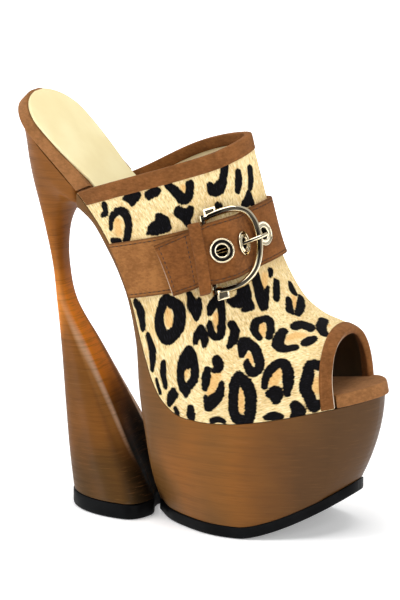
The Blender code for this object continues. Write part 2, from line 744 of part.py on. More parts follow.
def make_buckle_strap():
    flat = BUCKLE_STRAP["reach"][1]
    places = [np.linspace(STRAP_CLEAR, flat - 1.5, 7), np.linspace(flat + 1.0, BUCKLE_STRAP["reach"][-1], 9)]
    spread = np.linspace(-STRAP_HALF, STRAP_HALF, 6)
    rings = []
    for reach in np.concatenate(places):
        low = strap_value(BUCKLE_STRAP, "low", reach)
        high = strap_value(BUCKLE_STRAP, "high", reach)
        ring = [strap_point(reach, across, high) for across in spread]
        rings.append(ring + [strap_point(reach, across, low) for across in spread[::-1]])
    suede = finish("buckle strap suede", SUEDE, 0.9)
    strap = add_part("buckle_strap", skin_mesh("buckle_strap", rings), suede)
    places = np.linspace(BOW["across"][0], BOW["across"][-1], 13)
    bar = [strap_point(BAR_REACH, across, BAR_RISE) for across in places]
    bore = add_cutter("bar_bore", tube_mesh("bar_bore", bar, WIRE_RADIUS + GAP, False, 8))
    combine(strap, bore, "DIFFERENCE")
    half = PRONG_SLOT / 2
    corners = [(-half, PRONG_RADIUS), (half, PRONG_RADIUS), (half, SLOT_TOP), (-half, SLOT_TOP)]
    start = PRONG["reach"].min() - PRONG_RADIUS - GAP
    places = np.linspace(start, BUCKLE_STRAP["reach"][-1] + 1.0, 4)
    slot = [[strap_point(reach, across, rise) for across, rise in corners] for reach in places]
    combine(strap, add_cutter("prong_slot", skin_mesh("prong_slot", slot)), "DIFFERENCE")


def eyelet_frame(reach):
    """Centre on the billet strap's top, and the directions across it, along it and out of it."""
    centre = strap_point(reach, 0.0, billet_top(reach))
    along = strap_point(reach + 1.0, 0.0, billet_top(reach + 1.0)) - centre
    across = strap_point(reach, 1.0, billet_top(reach)) - centre
    out = np.cross(across, along)
    out = out / np.linalg.norm(out)
    along = along / np.linalg.norm(along)
    return centre, np.cross(along, out), along, out


def make_billet_strap():
    places = [np.linspace(BILLET["reach"][0], 35.0, 5), np.linspace(37.0, 68.0, 16)]
    places += [np.linspace(71.0, 98.0, 10), np.linspace(103.0, STRAP_END, 9)]
    rings = []
    for reach in np.concatenate(places):
        edges = [strap_value(BILLET, edge, reach) for edge in ("near_edge", "far_edge")]
        spread = np.linspace(*edges, 6)
        top = billet_top(reach)
        ring = [strap_point(reach, across, top) for across in spread]
        rings.append(ring + [strap_point(reach, across, top - STRAP_THICK) for across in spread[::-1]])
    suede = finish("billet strap suede", SUEDE, 0.9)
    strap = add_part("billet_strap", skin_mesh("billet_strap", rings), suede)
    for number, reach in enumerate(EYELETS["reach"], 1):
        centre, _, _, out = eyelet_frame(reach)
        name = "eyelet_hole_%d" % number
        ends = [centre - out * 2 * STRAP_THICK, centre + out * STRAP_THICK]
        combine(strap, add_cutter(name, tube_mesh(name, ends, EYELET_HOLE, False, 16)), "DIFFERENCE")


def make_keeper():
    """Loop over both straps, its feet just clear of the upper."""
    near = -STRAP_HALF - KEEPER_NEAR
    far = STRAP_HALF + KEEPER_FAR
    path = [(near, -1.0, False), (near, -1.0, True)]
    path += [(across, 0.0, True) for across in np.linspace(near + KEEPER_THICK, far - KEEPER_THICK, 6)]
    path += [(far, 1.0, True), (far, 1.0, False)]
    rings = []
    for across, side, over in path:
        inner = []
        outer = []
        for reach in np.linspace(KEEPER_START, KEEPER_END, 4):
            low = billet_top(reach) + GAP if over else GAP
            high = low + KEEPER_THICK if over else GAP
            inner.append(strap_point(reach, across, low))
            outer.append(strap_point(reach, across + side * KEEPER_THICK, high))
        rings.append(inner + outer[::-1])
    add_part("keeper", skin_mesh("keeper", rings), finish("keeper suede", SUEDE, 0.9))


def wire_points(columns, count):
    """Points along a table of places over the upper, evenly by its rows."""
    rows = [table_row(columns, share) for share in np.linspace(0.0, len(columns["reach"]) - 1, count)]
    return [strap_point(row["reach"], row.get("across", 0.0), row["rise"]) for row in rows]


def make_buckle():
    points = wire_points(BOW, 33)
    bar = np.linspace(BOW["across"][-1], BOW["across"][0], 9)[1:-1]
    points += [strap_point(BAR_REACH, across, BAR_RISE) for across in bar]
    metal = finish("buckle metal", METAL, 0.2, 1.0)
    frame = add_part("buckle_frame", tube_mesh("buckle_frame", points, WIRE_RADIUS, True, 8), metal)
    corners = [(LUG_START, LUG_LOW), (LUG_END, LUG_LOW), (LUG_END, LUG_HIGH), (LUG_START, LUG_HIGH)]
    for number, ends in enumerate(zip(LUGS["near"], LUGS["far"]), 1):
        name = "lug_%d" % number
        rings = [[strap_point(BAR_REACH + x, across, rise) for x, rise in corners] for across in ends]
        combine(frame, add_cutter(name, skin_mesh(name, rings)), "UNION")
    prong = tube_mesh("prong", wire_points(PRONG, 21), PRONG_RADIUS, False, 6)
    add_part("prong", prong, finish("prong metal", METAL, 0.2, 1.0))


def make_eyelets():
    """Turned eyelets, each on the billet strap's top."""
    outline = [(radius * MM, 0.0, height * MM) for radius, height in zip(*EYELET_OUTLINE.values())]
    edges = [(k, (k + 1) % len(outline)) for k in range(len(outline))]
    for number, reach in enumerate(EYELETS["reach"], 1):
        name = "eyelet_%d" % number
        mesh = bpy.data.meshes.new(name)
        mesh.from_pydata(outline, edges, [])
        eyelet = add_part(name, mesh, finish(name + " metal", METAL, 0.2, 1.0))
        screw = eyelet.modifiers.new("turn", "SCREW")
        screw.steps = EYELET_STEPS
        screw.render_steps = EYELET_STEPS
        screw.use_merge_vertices = True
        screw.merge_threshold = 1e-5
        screw.use_normal_calculate = True
        centre, across, along, out = eyelet_frame(reach)
        turn = Matrix((across, along, out)).transposed().to_4x4()
        eyelet.matrix_world = Matrix.Translation(centre * MM) @ turn


def main():
    for obj in list(bpy.data.objects):
        bpy.data.objects.remove(obj, do_unlink=True)
    for name in ("platform_clog", "cutters"):
        bpy.context.scene.collection.children.link(bpy.data.collections.new(name))
    make_heel()
    make_platform()
    make_outsole()
    make_footbed()
    make_insole()
    make_upper()
    make_bindings()
    make_buckle_strap()
    make_billet_strap()
    make_keeper()
    make_buckle()
    make_eyelets()


if __name__ == "__main__":
    main()
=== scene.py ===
"""Looks of a right-foot platform clog: printed pelt upper, suede straps, carved wooden heel and platform.

The tables are in millimetres and the meshes in metres, in the part's own frame. X runs from heel to
toe, Y from the outer (lateral) side to the inner (medial) side, Z up from the floor.
"""

import math

import bpy
import numpy as np
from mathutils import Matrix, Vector

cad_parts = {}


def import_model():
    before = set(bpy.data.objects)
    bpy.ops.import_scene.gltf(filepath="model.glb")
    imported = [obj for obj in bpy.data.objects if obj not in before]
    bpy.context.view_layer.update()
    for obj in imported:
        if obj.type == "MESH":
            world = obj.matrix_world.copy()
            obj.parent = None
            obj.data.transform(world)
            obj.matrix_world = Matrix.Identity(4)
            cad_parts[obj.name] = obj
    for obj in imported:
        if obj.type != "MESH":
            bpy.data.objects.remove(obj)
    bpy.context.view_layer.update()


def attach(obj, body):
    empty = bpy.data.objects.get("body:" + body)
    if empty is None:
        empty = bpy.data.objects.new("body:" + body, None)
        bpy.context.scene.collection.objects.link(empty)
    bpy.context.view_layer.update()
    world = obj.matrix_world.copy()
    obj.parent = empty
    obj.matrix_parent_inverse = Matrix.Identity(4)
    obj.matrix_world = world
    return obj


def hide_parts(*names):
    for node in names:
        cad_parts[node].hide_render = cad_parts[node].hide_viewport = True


MM = 0.001

# Sizes of the clog
GAP = 0.3
BED_THICK = 6.0
HEEL_ROUND = 14.4
TOE_ROUND = 14.0
SOCK_THICK = 1.2
SOCK_MARGIN = 0.7
SOCK_BACK = 1.2
SOCK_ROUND = 13.0
SOCK_END = -30.0
SOCK_TAPER = 22.0
UPPER_WALL = 2.2
PELT_THICK = 1.2
WOOD_MARGIN = 0.1
OUTSOLE_THICK = 5.2
OUTSOLE_PROUD = 0.7
OUTSOLE_ROUND = 10.0
HOLLOW_HALF = 0.6
TIP_PROUD = 0.4
TIP_EASE = 0.9
TOE_SPRING = 18.5
SPRING_START = 3.0
SPRING_REACH = 43.5
SPRING_POWER = 1.5
LEAST_HALF = 1.2
COLLAR_WIDTH = 7.2
TOE_WIDTH = 6.0
TOE_HIGHLIGHT = 0.6
BINDING_INSIDE = 5.0
BINDING_THICK = 1.0
BINDING_CLEAR = 0.004
BAND_THICK = 0.55
BAND_CLEAR = 0.06
STRAP_THICK = 2.2
STRAP_HALF = 13.75
STRAP_CLEAR = 0.9
KEEPER_START = 36.8
KEEPER_END = 41.4
KEEPER_THICK = 1.4
KEEPER_NEAR = 0.6
KEEPER_FAR = 2.6
BAR_REACH = 43.6
BAR_RISE = 3.1
WIRE_RADIUS = 1.5
BAR_RADIUS = 1.395
BOW_RADIUS = 1.6
PRONG_RADIUS = 0.9
PRONG_SLOT = 3.0
SLOT_TOP = 8.0
EYELET_HOLE = 3.4

# The footbed is narrower between the walls of the upper, and full again clear of the bindings
STEP_IN = UPPER_WALL + BINDING_THICK + 3 * GAP
STEP_BEHIND = 0.75
STEP_AHEAD = 1.0
STEP_RAMP = 0.3


def table(columns, rows):
    """Column name to the numbers of that column, one for each row."""
    return dict(zip(columns.split(), np.array(rows, float).T))


# Top of the footbed on its centre line and its half widths, from the heel to the toe
BED = table("x z lateral medial", [
    (-120.0, 196.0, 24.0, 24.0),
    (-99.0, 175.0, 24.5, 24.5),
    (-87.0, 163.0, 24.5, 24.5),
    (-78.5, 154.3, 25.0, 25.0),
    (-70.0, 145.0, 26.5, 26.5),
    (-62.0, 134.5, 28.5, 28.0),
    (-54.0, 121.5, 31.0, 30.5),
    (-47.0, 105.5, 33.5, 32.5),
    (-40.5, 86.0, 36.0, 34.5),
    (-34.0, 70.3, 38.0, 36.0),
    (-27.0, 62.8, 39.3, 37.0),
    (-18.0, 60.6, 40.0, 37.8),
    (-5.0, 60.4, 40.0, 38.0),
    (10.0, 62.2, 38.0, 37.2),
    (27.0, 65.3, 31.0, 32.5),
    (41.0, 68.2, 23.5, 25.5),
    (50.0, 70.1, 18.5, 20.5),
    (59.0, 72.0, 13.0, 15.0),
])

# Sections of the upper, from the collar to the peep toe: where each one leaves the footbed, its ridge,
# how far its sides swell past the feather edge and how high up, how full the curve is on each side of
# the ridge, and how far the inner side rises
UPPER = table(
    "bed_x ridge_x ridge_y ridge_z swell_lateral swell_medial swell_height full_lateral full_medial rise", [
        (-81.0, -14.0, 11.0, 180.5, 4.0, 4.0, 0.30, 2.00, 2.05, 3.5),
        (-65.0, -7.5, 13.5, 153.0, 2.5, 3.0, 0.26, 2.00, 2.05, 1.7),
        (-50.5, 0.0, 13.5, 126.6, 1.0, 1.5, 0.24, 2.00, 2.05, 0.5),
        (-36.0, 11.0, 11.5, 108.0, 0.6, 0.8, 0.22, 2.00, 2.05, 0.0),
        (-18.0, 22.0, 7.0, 100.4, 0.5, 0.5, 0.25, 2.00, 2.00, 0.0),
        (9.0, 31.5, 4.0, 97.0, 0.5, 0.5, 0.25, 2.10, 2.10, 0.0),
        (42.5, 40.5, 3.0, 94.5, 0.5, 0.5, 0.25, 2.20, 2.20, 0.0),
    ])
COLLAR_X = UPPER["bed_x"][0]
TOE_X = UPPER["bed_x"][-1]
LAST_ROW = len(UPPER["bed_x"]) - 1

# How far the collar's edge is cut below the first section of the upper, as a share of a row
COLLAR_DIP = table("arch row", [
    (0.00, 0.00),
    (0.10, 0.02),
    (0.20, 0.06),
    (0.30, 0.10),
    (0.40, 0.12),
    (0.48, 0.08),
    (0.56, 0.02),
    (0.64, 0.00),
    (1.00, 0.00),
])

# Platform: where each section starts on the footbed, where it ends below, its rise over the outsole,
# the half widths there, and how late its sides draw in and its toe turns back
PLATFORM = table("bed_x under_x under_rise lateral medial bulge curl", [
    (-81.3, -85.8, 140.3, 24.0, 24.0, 4.0, 1.0),
    (-76.5, -83.6, 139.3, 24.5, 24.5, 4.0, 1.0),
    (-70.0, -76.7, 133.7, 25.5, 25.5, 4.0, 1.0),
    (-62.0, -69.2, 123.9, 27.5, 27.0, 4.0, 1.0),
    (-54.0, -61.7, 111.8, 29.0, 28.5, 4.0, 1.0),
    (-47.5, -55.6, 97.5, 29.0, 28.0, 4.0, 1.0),
    (-44.0, -52.5, 72.5, 22.0, 21.0, 3.0, 1.0),
    (-40.5, -53.0, 45.5, 16.0, 15.0, 3.0, 1.0),
    (-36.5, -52.5, 22.0, 11.0, 10.0, 2.6, 1.0),
    (-33.0, -51.0, 0.0, 7.0, 7.0, 2.2, 1.0),
    (-28.0, -41.0, 0.0, 19.0, 18.0, 1.8, 1.0),
    (-21.0, -28.0, 0.0, 28.5, 26.0, 1.6, 1.0),
    (-10.0, -12.0, 0.0, 36.0, 33.0, 1.5, 1.0),
    (5.0, 3.0, 0.0, 37.0, 35.5, 1.5, 1.0),
    (25.0, 20.0, 0.0, 31.0, 32.0, 1.6, 1.3),
    (40.3, 33.0, 0.0, 23.5, 25.5, 1.6, 1.7),
    (48.6, 40.0, 0.0, 18.5, 20.0, 1.6, 1.9),
    (56.6, 46.5, 0.0, 13.0, 14.5, 1.6, 1.9),
])
ON_SOLE = PLATFORM["under_rise"] == 0.0

# Heel: back and front of each ring in side view, its half width, where along it is widest, how square
# its back and front are, and how deep the middle of its front is hollowed to clear the platform
HEEL = table("back_x back_z front_x front_z half widest back_square front_square hollow", [
    (-97.7, 7.3, -50.3, 7.3, 29.8, 0.78, 1.95, 2.9, 6.0),
    (-99.2, 18.0, -56.8, 18.5, 26.0, 0.78, 2.05, 2.8, 4.0),
    (-100.6, 30.0, -64.8, 31.0, 22.0, 0.77, 2.15, 2.7, 2.0),
    (-103.0, 51.0, -76.5, 53.5, 15.6, 0.75, 2.2, 2.6, 0.0),
    (-105.2, 73.0, -88.4, 75.5, 10.4, 0.72, 2.2, 2.6, 0.0),
    (-107.4, 94.0, -99.8, 95.0, 7.0, 0.65, 2.2, 2.5, 0.0),
    (-109.5, 112.0, -103.3, 112.5, 6.0, 0.60, 2.2, 2.4, 0.0),
    (-112.5, 129.0, -103.3, 126.5, 7.8, 0.50, 2.2, 2.2, 0.0),
    (-115.0, 143.0, -101.5, 136.0, 11.5, 0.50, 2.2, 2.2, 0.0),
    (-117.5, 157.0, -96.8, 143.3, 16.5, 0.50, 2.2, 2.4, 0.0),
    (-119.3, 168.5, -91.5, 145.5, 20.5, 0.55, 2.2, 3.0, 0.0),
    (-120.6, 177.5, -86.3, 145.8, 23.0, 0.60, 2.2, 5.0, 0.0),
    (-122.0, 189.05, -86.2, 153.25, 24.5, 0.60, 2.3, 9.0, 0.0),
])

# Centre line of the straps over the upper, as a share of the arch and a row of its table
STRAP_PATH = table("arch row", [
    (0.00, 1.72),
    (0.22, 1.74),
    (0.34, 1.72),
    (0.46, 1.64),
    (0.58, 1.60),
    (0.78, 1.65),
    (1.00, 1.72),
])

# How far the lines across the straps lean back towards their lateral end, for each millimetre across
STRAP_LEAN = table("reach lean", [
    (0.0, 0.0),
    (24.0, 0.0),
    (36.0, 0.17),
    (74.0, 0.17),
    (105.0, 0.0),
    (170.0, 0.0),
])

# Lower strap along its length: its underside and its top, folded round the bar at the end
BUCKLE_STRAP = table("reach low high", [
    (0.0, 0.3, 2.5),
    (33.5, 0.3, 2.5),
    (36.5, 0.3, 3.3),
    (40.5, 0.3, 5.5),
    (43.6, 0.3, 5.9),
    (45.4, 0.6, 5.5),
    (46.5, 1.4, 4.7),
])

# Upper strap along its length, from its tip: the lift of its underside and its two edges
BILLET = table("reach lift near_edge far_edge", [
    (23.0, 2.8, -9.5, 15.5),
    (30.5, 2.8, -11.3, 14.7),
    (34.5, 3.2, -12.3, 14.3),
    (40.5, 6.1, -13.5, 13.8),
    (43.6, 6.7, -14.3, 14.7),
    (46.5, 7.5, -14.5, 15.0),
    (49.0, 8.0, -14.5, 15.0),
    (52.0, 7.6, -14.5, 15.0),
    (55.0, 5.8, -14.2, 14.6),
    (58.6, 3.6, -13.8, 14.0),
    (61.5, 1.6, -13.75, 13.75),
    (64.0, 0.6, -13.75, 13.75),
    (67.5, 0.5, -13.75, 13.75),
    (150.0, 0.5, -13.75, 13.75),
])

# Frame of the buckle round its bow, from one end of the bar to the other
BOW = table("reach across rise", [
    (43.6, -16.4, 3.1),
    (46.5, -17.2, 3.7),
    (51.5, -17.6, 4.6),
    (57.0, -16.8, 5.5),
    (62.3, -13.4, 5.9),
    (65.8, -8.0, 5.8),
    (67.4, -2.0, 5.7),
    (67.4, 3.0, 5.7),
    (65.8, 8.6, 5.8),
    (62.3, 13.8, 5.9),
    (57.0, 17.2, 5.5),
    (51.5, 18.0, 4.6),
    (46.5, 17.6, 3.7),
    (43.6, 17.0, 3.1),
])

# Square lugs at the two ends of the bar: their sides along it, then along and over the strap
LUGS = table("near far", [
    (-17.1, -20.9),
    (17.3, 22.3),
])
LUG_START = 0.4
LUG_END = 5.6
LUG_LOW = 2.0
LUG_HIGH = 5.0
LUG_EASE = 0.35
LUG_RIM = 0.5
LUG_SLOPE = 0.2
LUG_SUNK = 0.8
# How dark the lugs' sunk faces are painted, as a dark reflection
LUG_REFLECTION_DARK = 0.9
BAR_SPAN = (-18.3, 19.1)

# Prong: its hook over the bar, its way up through the eyelet and over the bow
PRONG = table("reach rise", [
    (41.5, 1.9),
    (40.95, 3.1),
    (41.6, 4.9),
    (43.6, 5.75),
    (46.2, 5.4),
    (50.0, 4.5),
    (54.6, 3.8),
    (56.6, 4.0),
    (58.7, 5.2),
    (60.4, 6.5),
    (62.6, 7.6),
    (67.3, 8.4),
    (70.0, 8.2),
])

# Eyelets along the billet strap
EYELETS = table("reach", [(47.6,), (58.9,), (73.3,)])

# Marks of the leopard print, read in two zoomed crops of the photograph: x, y and half width in the
# crop's own pixels. A crop is given by its left and top in the photograph and its zoom
LOW_CROP = (120.0, 270.0, 7.467)
HIGH_CROP = (100.0, 170.0, 8.2526)
LOW_DARK = [
    [(116, 232, 16), (150, 290, 28), (163, 360, 26), (172, 440, 16)],
    [(345, 212, 32), (425, 270, 44), (446, 350, 42), (428, 440, 40), (352, 512, 46), (302, 440, 36),
     (293, 360, 31), (318, 262, 30), (345, 212, 32)],
    [(835, 405, 25), (860, 460, 28), (842, 525, 28), (816, 568, 14)],
    [(925, 140, 48), (922, 210, 52), (866, 240, 38), (812, 236, 12)],
    [(930, 230, 45), (978, 272, 26), (930, 290, 18)],
    [(1008, 40, 36), (1038, 150, 36), (1066, 255, 36), (1072, 285, 16)],
    [(1072, 250, 34), (1094, 165, 18), (1104, 130, 10)],
    [(1125, 5, 22), (1120, 45, 10)],
    [(1170, 92, 26), (1168, 208, 25)],
    [(1275, 105, 20), (1290, 150, 34), (1312, 178, 16)],
    [(1258, 215, 20), (1268, 295, 26), (1290, 322, 14)],
    [(1352, 205, 24), (1350, 270, 28), (1325, 330, 22)],
    [(1040, 508, 18), (1007, 450, 24), (1014, 392, 26), (1062, 368, 20), (1108, 368, 26),
     (1124, 430, 24), (1116, 502, 20)],
    [(1220, 455, 28), (1188, 510, 38), (1184, 566, 38), (1240, 588, 30), (1312, 578, 22)],
    [(908, 640, 16), (920, 592, 32), (926, 538, 36), (990, 572, 32), (1030, 650, 32), (1042, 725, 30),
     (990, 766, 30), (952, 712, 24), (944, 684, 14)],
    [(725, 675, 34), (736, 728, 34), (704, 752, 14)],
    [(652, 748, 22), (640, 820, 30), (634, 888, 16)],
    [(762, 850, 16), (742, 925, 32), (684, 985, 42), (652, 1030, 18), (640, 955, 14)],
    [(880, 785, 26), (858, 850, 36), (850, 950, 32), (850, 1060, 34), (880, 1112, 40), (958, 1108, 36),
     (974, 1000, 38), (970, 905, 42), (930, 835, 40), (880, 785, 26)],
    [(1078, 872, 18), (1092, 800, 26), (1142, 724, 32), (1210, 694, 32), (1250, 745, 36),
     (1256, 830, 36), (1250, 920, 20)],
    [(1120, 925, 30), (1168, 920, 46), (1166, 968, 32)],
    [(1486, 712, 34), (1422, 712, 32), (1402, 790, 42), (1386, 870, 42), (1412, 950, 38),
     (1450, 1026, 34), (1486, 990, 18)],
    [(1310, 1012, 32), (1330, 1060, 46), (1300, 1088, 24)],
    [(1090, 1106, 14), (1150, 1090, 28), (1200, 1094, 18)],
    [(690, 1124, 18), (740, 1114, 18), (780, 1134, 10)],
    [(525, 1030, 22), (528, 1080, 30), (540, 1114, 14)],
    [(402, 905, 20), (386, 950, 34), (370, 1000, 14)],
    [(420, 930, 18)],
    [(328, 692, 18), (322, 770, 20), (340, 870, 12)],
    [(205, 482, 18), (234, 560, 26), (246, 640, 22), (240, 738, 12)],
    [(272, 820, 8), (300, 920, 8)],
    [(415, 1035, 14), (435, 1080, 10)],
]
HIGH_DARK = [
    [(36, 292, 25), (46, 350, 22), (22, 374, 14)],
    [(205, 236, 16), (258, 232, 44), (300, 212, 32), (260, 278, 16)],
    [(402, 206, 30), (460, 176, 34), (402, 222, 20)],
    [(562, 122, 26), (622, 182, 32), (692, 246, 38), (736, 200, 30), (740, 112, 28)],
    [(90, 482, 14), (96, 400, 20), (142, 346, 26), (200, 352, 34), (234, 430, 28), (226, 540, 28),
     (206, 588, 14)],
    [(106, 582, 20), (160, 592, 22)],
    [(490, 392, 32), (520, 448, 56), (446, 488, 48), (402, 522, 12)],
    [(556, 480, 30)],
    [(652, 348, 38), (708, 368, 48), (750, 322, 22)],
    [(708, 400, 34), (726, 444, 20)],
    [(1030, -30, 30), (1024, 20, 28), (1014, 84, 34), (980, 150, 48), (930, 160, 44), (906, 122, 20)],
    [(1140, 18, 24), (1145, 100, 32), (1136, 170, 22)],
    [(1240, -10, 28), (1246, 80, 30), (1240, 138, 24)],
    [(1225, 192, 20), (1226, 240, 44), (1182, 286, 20)],
    [(1256, 270, 24)],
    [(975, 296, 28)],
    [(1342, 15, 12), (1346, 60, 8)],
]

# Marks of the tan centres
LOW_HEART = [
    [(352, 300, 26), (370, 400, 30)],
    [(716, 340, 28), (722, 430, 24)],
    [(1080, 40, 28), (1078, 130, 26)],
    [(1302, 205, 24), (1304, 270, 24)],
    [(1060, 410, 30), (1066, 480, 28)],
    [(1262, 512, 24), (1310, 490, 36), (1370, 486, 26)],
    [(1552, 410, 24)],
    [(962, 640, 22), (986, 692, 18)],
    [(494, 745, 14), (494, 795, 14)],
    [(722, 790, 40), (694, 850, 42), (672, 925, 28)],
    [(912, 900, 24), (900, 1000, 34), (904, 1050, 24)],
    [(1168, 770, 46), (1142, 830, 44)],
    [(1478, 840, 44), (1470, 890, 38)],
]
HIGH_HEART = [
    [(688, 140, 26), (692, 178, 18)],
    [(140, 430, 34), (150, 510, 38)],
]

# Marks of the print that were set on the upper itself: each point has a row of its table, a share of the
# arch and a half width in millimetres
SET_STROKES = [
    [(2.26, 0.192, 1.1), (2.43, 0.193, 2.3), (2.55, 0.194, 1.7), (2.62, 0.192, 0.6)],
    [(2.39, 0.216, 0.9), (2.47, 0.206, 1.6), (2.55, 0.197, 1.6)],
    [(2.75, 0.197, 1.0), (2.82, 0.181, 1.3), (2.91, 0.169, 0.8)],
    [(2.77, 0.198, 1.3), (2.90, 0.196, 1.5), (3.01, 0.190, 1.0)],
    [(2.48, 0.267, 2.3), (2.54, 0.246, 1.8), (2.62, 0.233, 0.9)],
    [(2.50, 0.272, 2.0), (2.70, 0.267, 1.4), (2.90, 0.253, 1.5), (3.01, 0.240, 1.4), (2.94, 0.222, 1.5),
     (2.82, 0.222, 1.4), (2.75, 0.226, 0.8)],
    [(4.08, 0.415, 2.4), (4.19, 0.433, 2.8), (4.48, 0.433, 2.8), (4.67, 0.419, 1.6)],
    [(4.99, 0.339, 1.9), (5.05, 0.357, 2.1), (5.11, 0.371, 1.4)],
    [(4.64, 0.508, 2.1), (4.95, 0.446, 2.2), (5.34, 0.404, 1.8)],
    [(2.96, 0.143, 2.0), (3.12, 0.145, 1.7), (3.36, 0.120, 1.7), (3.43, 0.084, 1.6), (3.51, 0.065, 0.8)],
    [(2.96, 0.143, 2.0), (3.03, 0.115, 1.9), (3.16, 0.093, 1.6), (3.32, 0.078, 1.7), (3.48, 0.070, 1.2)],
    [(3.02, 0.136, 1.9), (3.12, 0.124, 1.6)],
]


def smooth(keys, values, at):
    """Smooth curve through the values at rising keys, read at other keys."""
    keys = np.asarray(keys, float)
    values = np.asarray(values, float)
    at = np.asarray(at, float)
    step = np.diff(keys)
    slope = np.diff(values) / step
    tangent = np.empty_like(values)
    tangent[0] = slope[0]
    tangent[-1] = slope[-1]
    tangent[1:-1] = (slope[:-1] * step[1:] + slope[1:] * step[:-1]) / (step[1:] + step[:-1])
    i = np.clip(np.searchsorted(keys, at, side="right") - 1, 0, len(keys) - 2)
    u = (at - keys[i]) / step[i]
    rest = 1.0 - u
    ends = values[i] * rest**2 * (1 + 2 * u) + values[i + 1] * u**2 * (1 + 2 * rest)
    return ends + step[i] * u * rest * (tangent[i] * rest - tangent[i + 1] * u)


def table_row(columns, row):
    """Every column of a table at a row number that may lie between two rows."""
    index = np.arange(len(next(iter(columns.values()))))
    return {name: float(smooth(index, column, row)) for name, column in columns.items()}


def rounded(distance, reach):
    """Share of the full half width left at a distance from a rounded end."""
    share = np.clip(np.asarray(distance, float) / reach, 0.0, 1.0)
    return np.sqrt(1.0 - (1.0 - share) ** 2)


# Footbed lines

def bed_point(x, drop=0.0):
    """Side-view point on the footbed's top at x, moved down its normal by drop."""
    x = np.asarray(x, float)
    z = smooth(BED["x"], BED["z"], x)
    probe = 0.05
    slope = (smooth(BED["x"], BED["z"], x + probe) - smooth(BED["x"], BED["z"], x - probe)) / (2 * probe)
    length = np.sqrt(1.0 + slope**2)
    return x + drop * slope / length, z - drop / length


def bed_half(x, side):
    """Half width of the footbed at x, before its ends are rounded."""
    return smooth(BED["x"], BED[side], x)


def footbed_half(x):
    """Half widths of the footbed: full where it shows, narrower between the walls of the upper."""
    behind = np.clip((COLLAR_X - STEP_BEHIND - x) / STEP_RAMP, 0.0, 1.0)
    ahead = np.clip((x - TOE_X - STEP_AHEAD) / STEP_RAMP, 0.0, 1.0)
    narrow = STEP_IN * (1.0 - np.maximum(behind, ahead))
    shape = np.minimum(rounded(x - BED["x"][0], HEEL_ROUND), rounded(BED["x"][-1] - x, TOE_ROUND))
    halves = [bed_half(x, side) * shape - narrow for side in ("lateral", "medial")]
    return [max(float(half), LEAST_HALF) for half in halves]


def insole_half(x):
    """Half widths of the insole: a margin inside the footbed's edge, drawn in before the collar."""
    shape = float(rounded(x - BED["x"][0] - SOCK_BACK, SOCK_ROUND))
    drawn = np.clip((x - COLLAR_X + STEP_BEHIND + STEP_RAMP) / SOCK_TAPER + 1.0, 0.0, 1.0)
    margin = SOCK_MARGIN + STEP_IN * float(drawn) ** 2
    return [max(float(bed_half(x, side)) * shape - margin, LEAST_HALF) for side in ("lateral", "medial")]


ROUND_STEPS = 22


def stations(start, end, rows, start_round, end_round, extra=()):
    """X places between two ends, closer together where an end is rounded."""
    x = np.linspace(start, end, rows)
    curve = 1.0 - np.cos(np.linspace(0.0, math.pi / 2, ROUND_STEPS))
    inside = (x > start + start_round) & (x < end - end_round)
    near = start + start_round * curve if start_round else [start]
    far = end - end_round * curve if end_round else [end]
    return np.unique(np.concatenate([near, x[inside], far, extra]))


def sole_line(x):
    """Height of the outsole's underside at x: flat under the ball, rising to the toe."""
    reach = np.clip((np.asarray(x, float) - SPRING_START) / SPRING_REACH, 0.0, None)
    return TOE_SPRING * reach**SPRING_POWER


def outsole_half(x, side):
    """Half width of the outsole at x, from the platform's own underside."""
    half = smooth(PLATFORM["under_x"][ON_SOLE], PLATFORM[side][ON_SOLE], x)
    toe = rounded(PLATFORM["under_x"][-1] + OUTSOLE_PROUD - x, OUTSOLE_ROUND)
    return max(float(half * toe), LEAST_HALF) + OUTSOLE_PROUD


# Surface of the upper

SECTION_SAMPLES = 240
ROW_SAMPLES = 120
ROW_FINER = 4


def section_curve(row):
    """Outer curve of the upper at a row number of its table, evenly spaced by length."""
    value = table_row(UPPER, row)
    foot_x, foot_z = (float(v) for v in bed_point(value["bed_x"], BED_THICK))
    height = math.hypot(value["ridge_x"] - foot_x, value["ridge_z"] - foot_z)
    along_x = (value["ridge_x"] - foot_x) / height
    along_z = (value["ridge_z"] - foot_z) / height
    swell_height = value["swell_height"] * height
    low = np.linspace(0.0, 1.0, SECTION_SAMPLES // 4, endpoint=False)
    turn = np.linspace(0.0, math.pi / 2, SECTION_SAMPLES)
    halves = []
    for side, sign in (("lateral", -1.0), ("medial", 1.0)):
        feather = float(bed_half(value["bed_x"], side))
        widest = feather + value["swell_" + side]
        power = 2.0 / value["full_" + side]
        ridge_y = sign * value["ridge_y"]
        below = feather + (widest - feather) * np.sin(low * math.pi / 2)
        y = np.concatenate([below, ridge_y + (widest - ridge_y) * np.cos(turn) ** power])
        above = swell_height + (height - swell_height) * np.sin(turn) ** power
        h = np.concatenate([low * swell_height, above])
        halves.append((sign * y, h))
    y = np.concatenate([halves[0][0], halves[1][0][::-1][1:]])
    h = np.concatenate([halves[0][1], halves[1][1][::-1][1:]])
    length = np.concatenate([[0.0], np.cumsum(np.hypot(np.diff(y), np.diff(h)))])
    arch = np.linspace(0.0, 1.0, SECTION_SAMPLES + 1)
    y = np.interp(arch * length[-1], length, y)
    h = np.interp(arch * length[-1], length, h)
    rise = value["rise"] * np.where(arch > 0.5, np.sin(2 * math.pi * arch) ** 2, 0.0)
    x = foot_x + along_x * h - along_z * rise
    z = foot_z + along_z * h + along_x * rise
    return np.stack([x, y, z], axis=-1)


def grid_normals(grid):
    """Unit normals of a surface grid, pointing out of the foot."""
    normal = np.cross(np.gradient(grid, axis=0), np.gradient(grid, axis=1))
    return normal / np.linalg.norm(normal, axis=-1, keepdims=True)


UPPER_GRID = np.array([section_curve(row) for row in np.linspace(0.0, LAST_ROW, ROW_SAMPLES + 1)])
UPPER_NORMALS = grid_normals(UPPER_GRID)


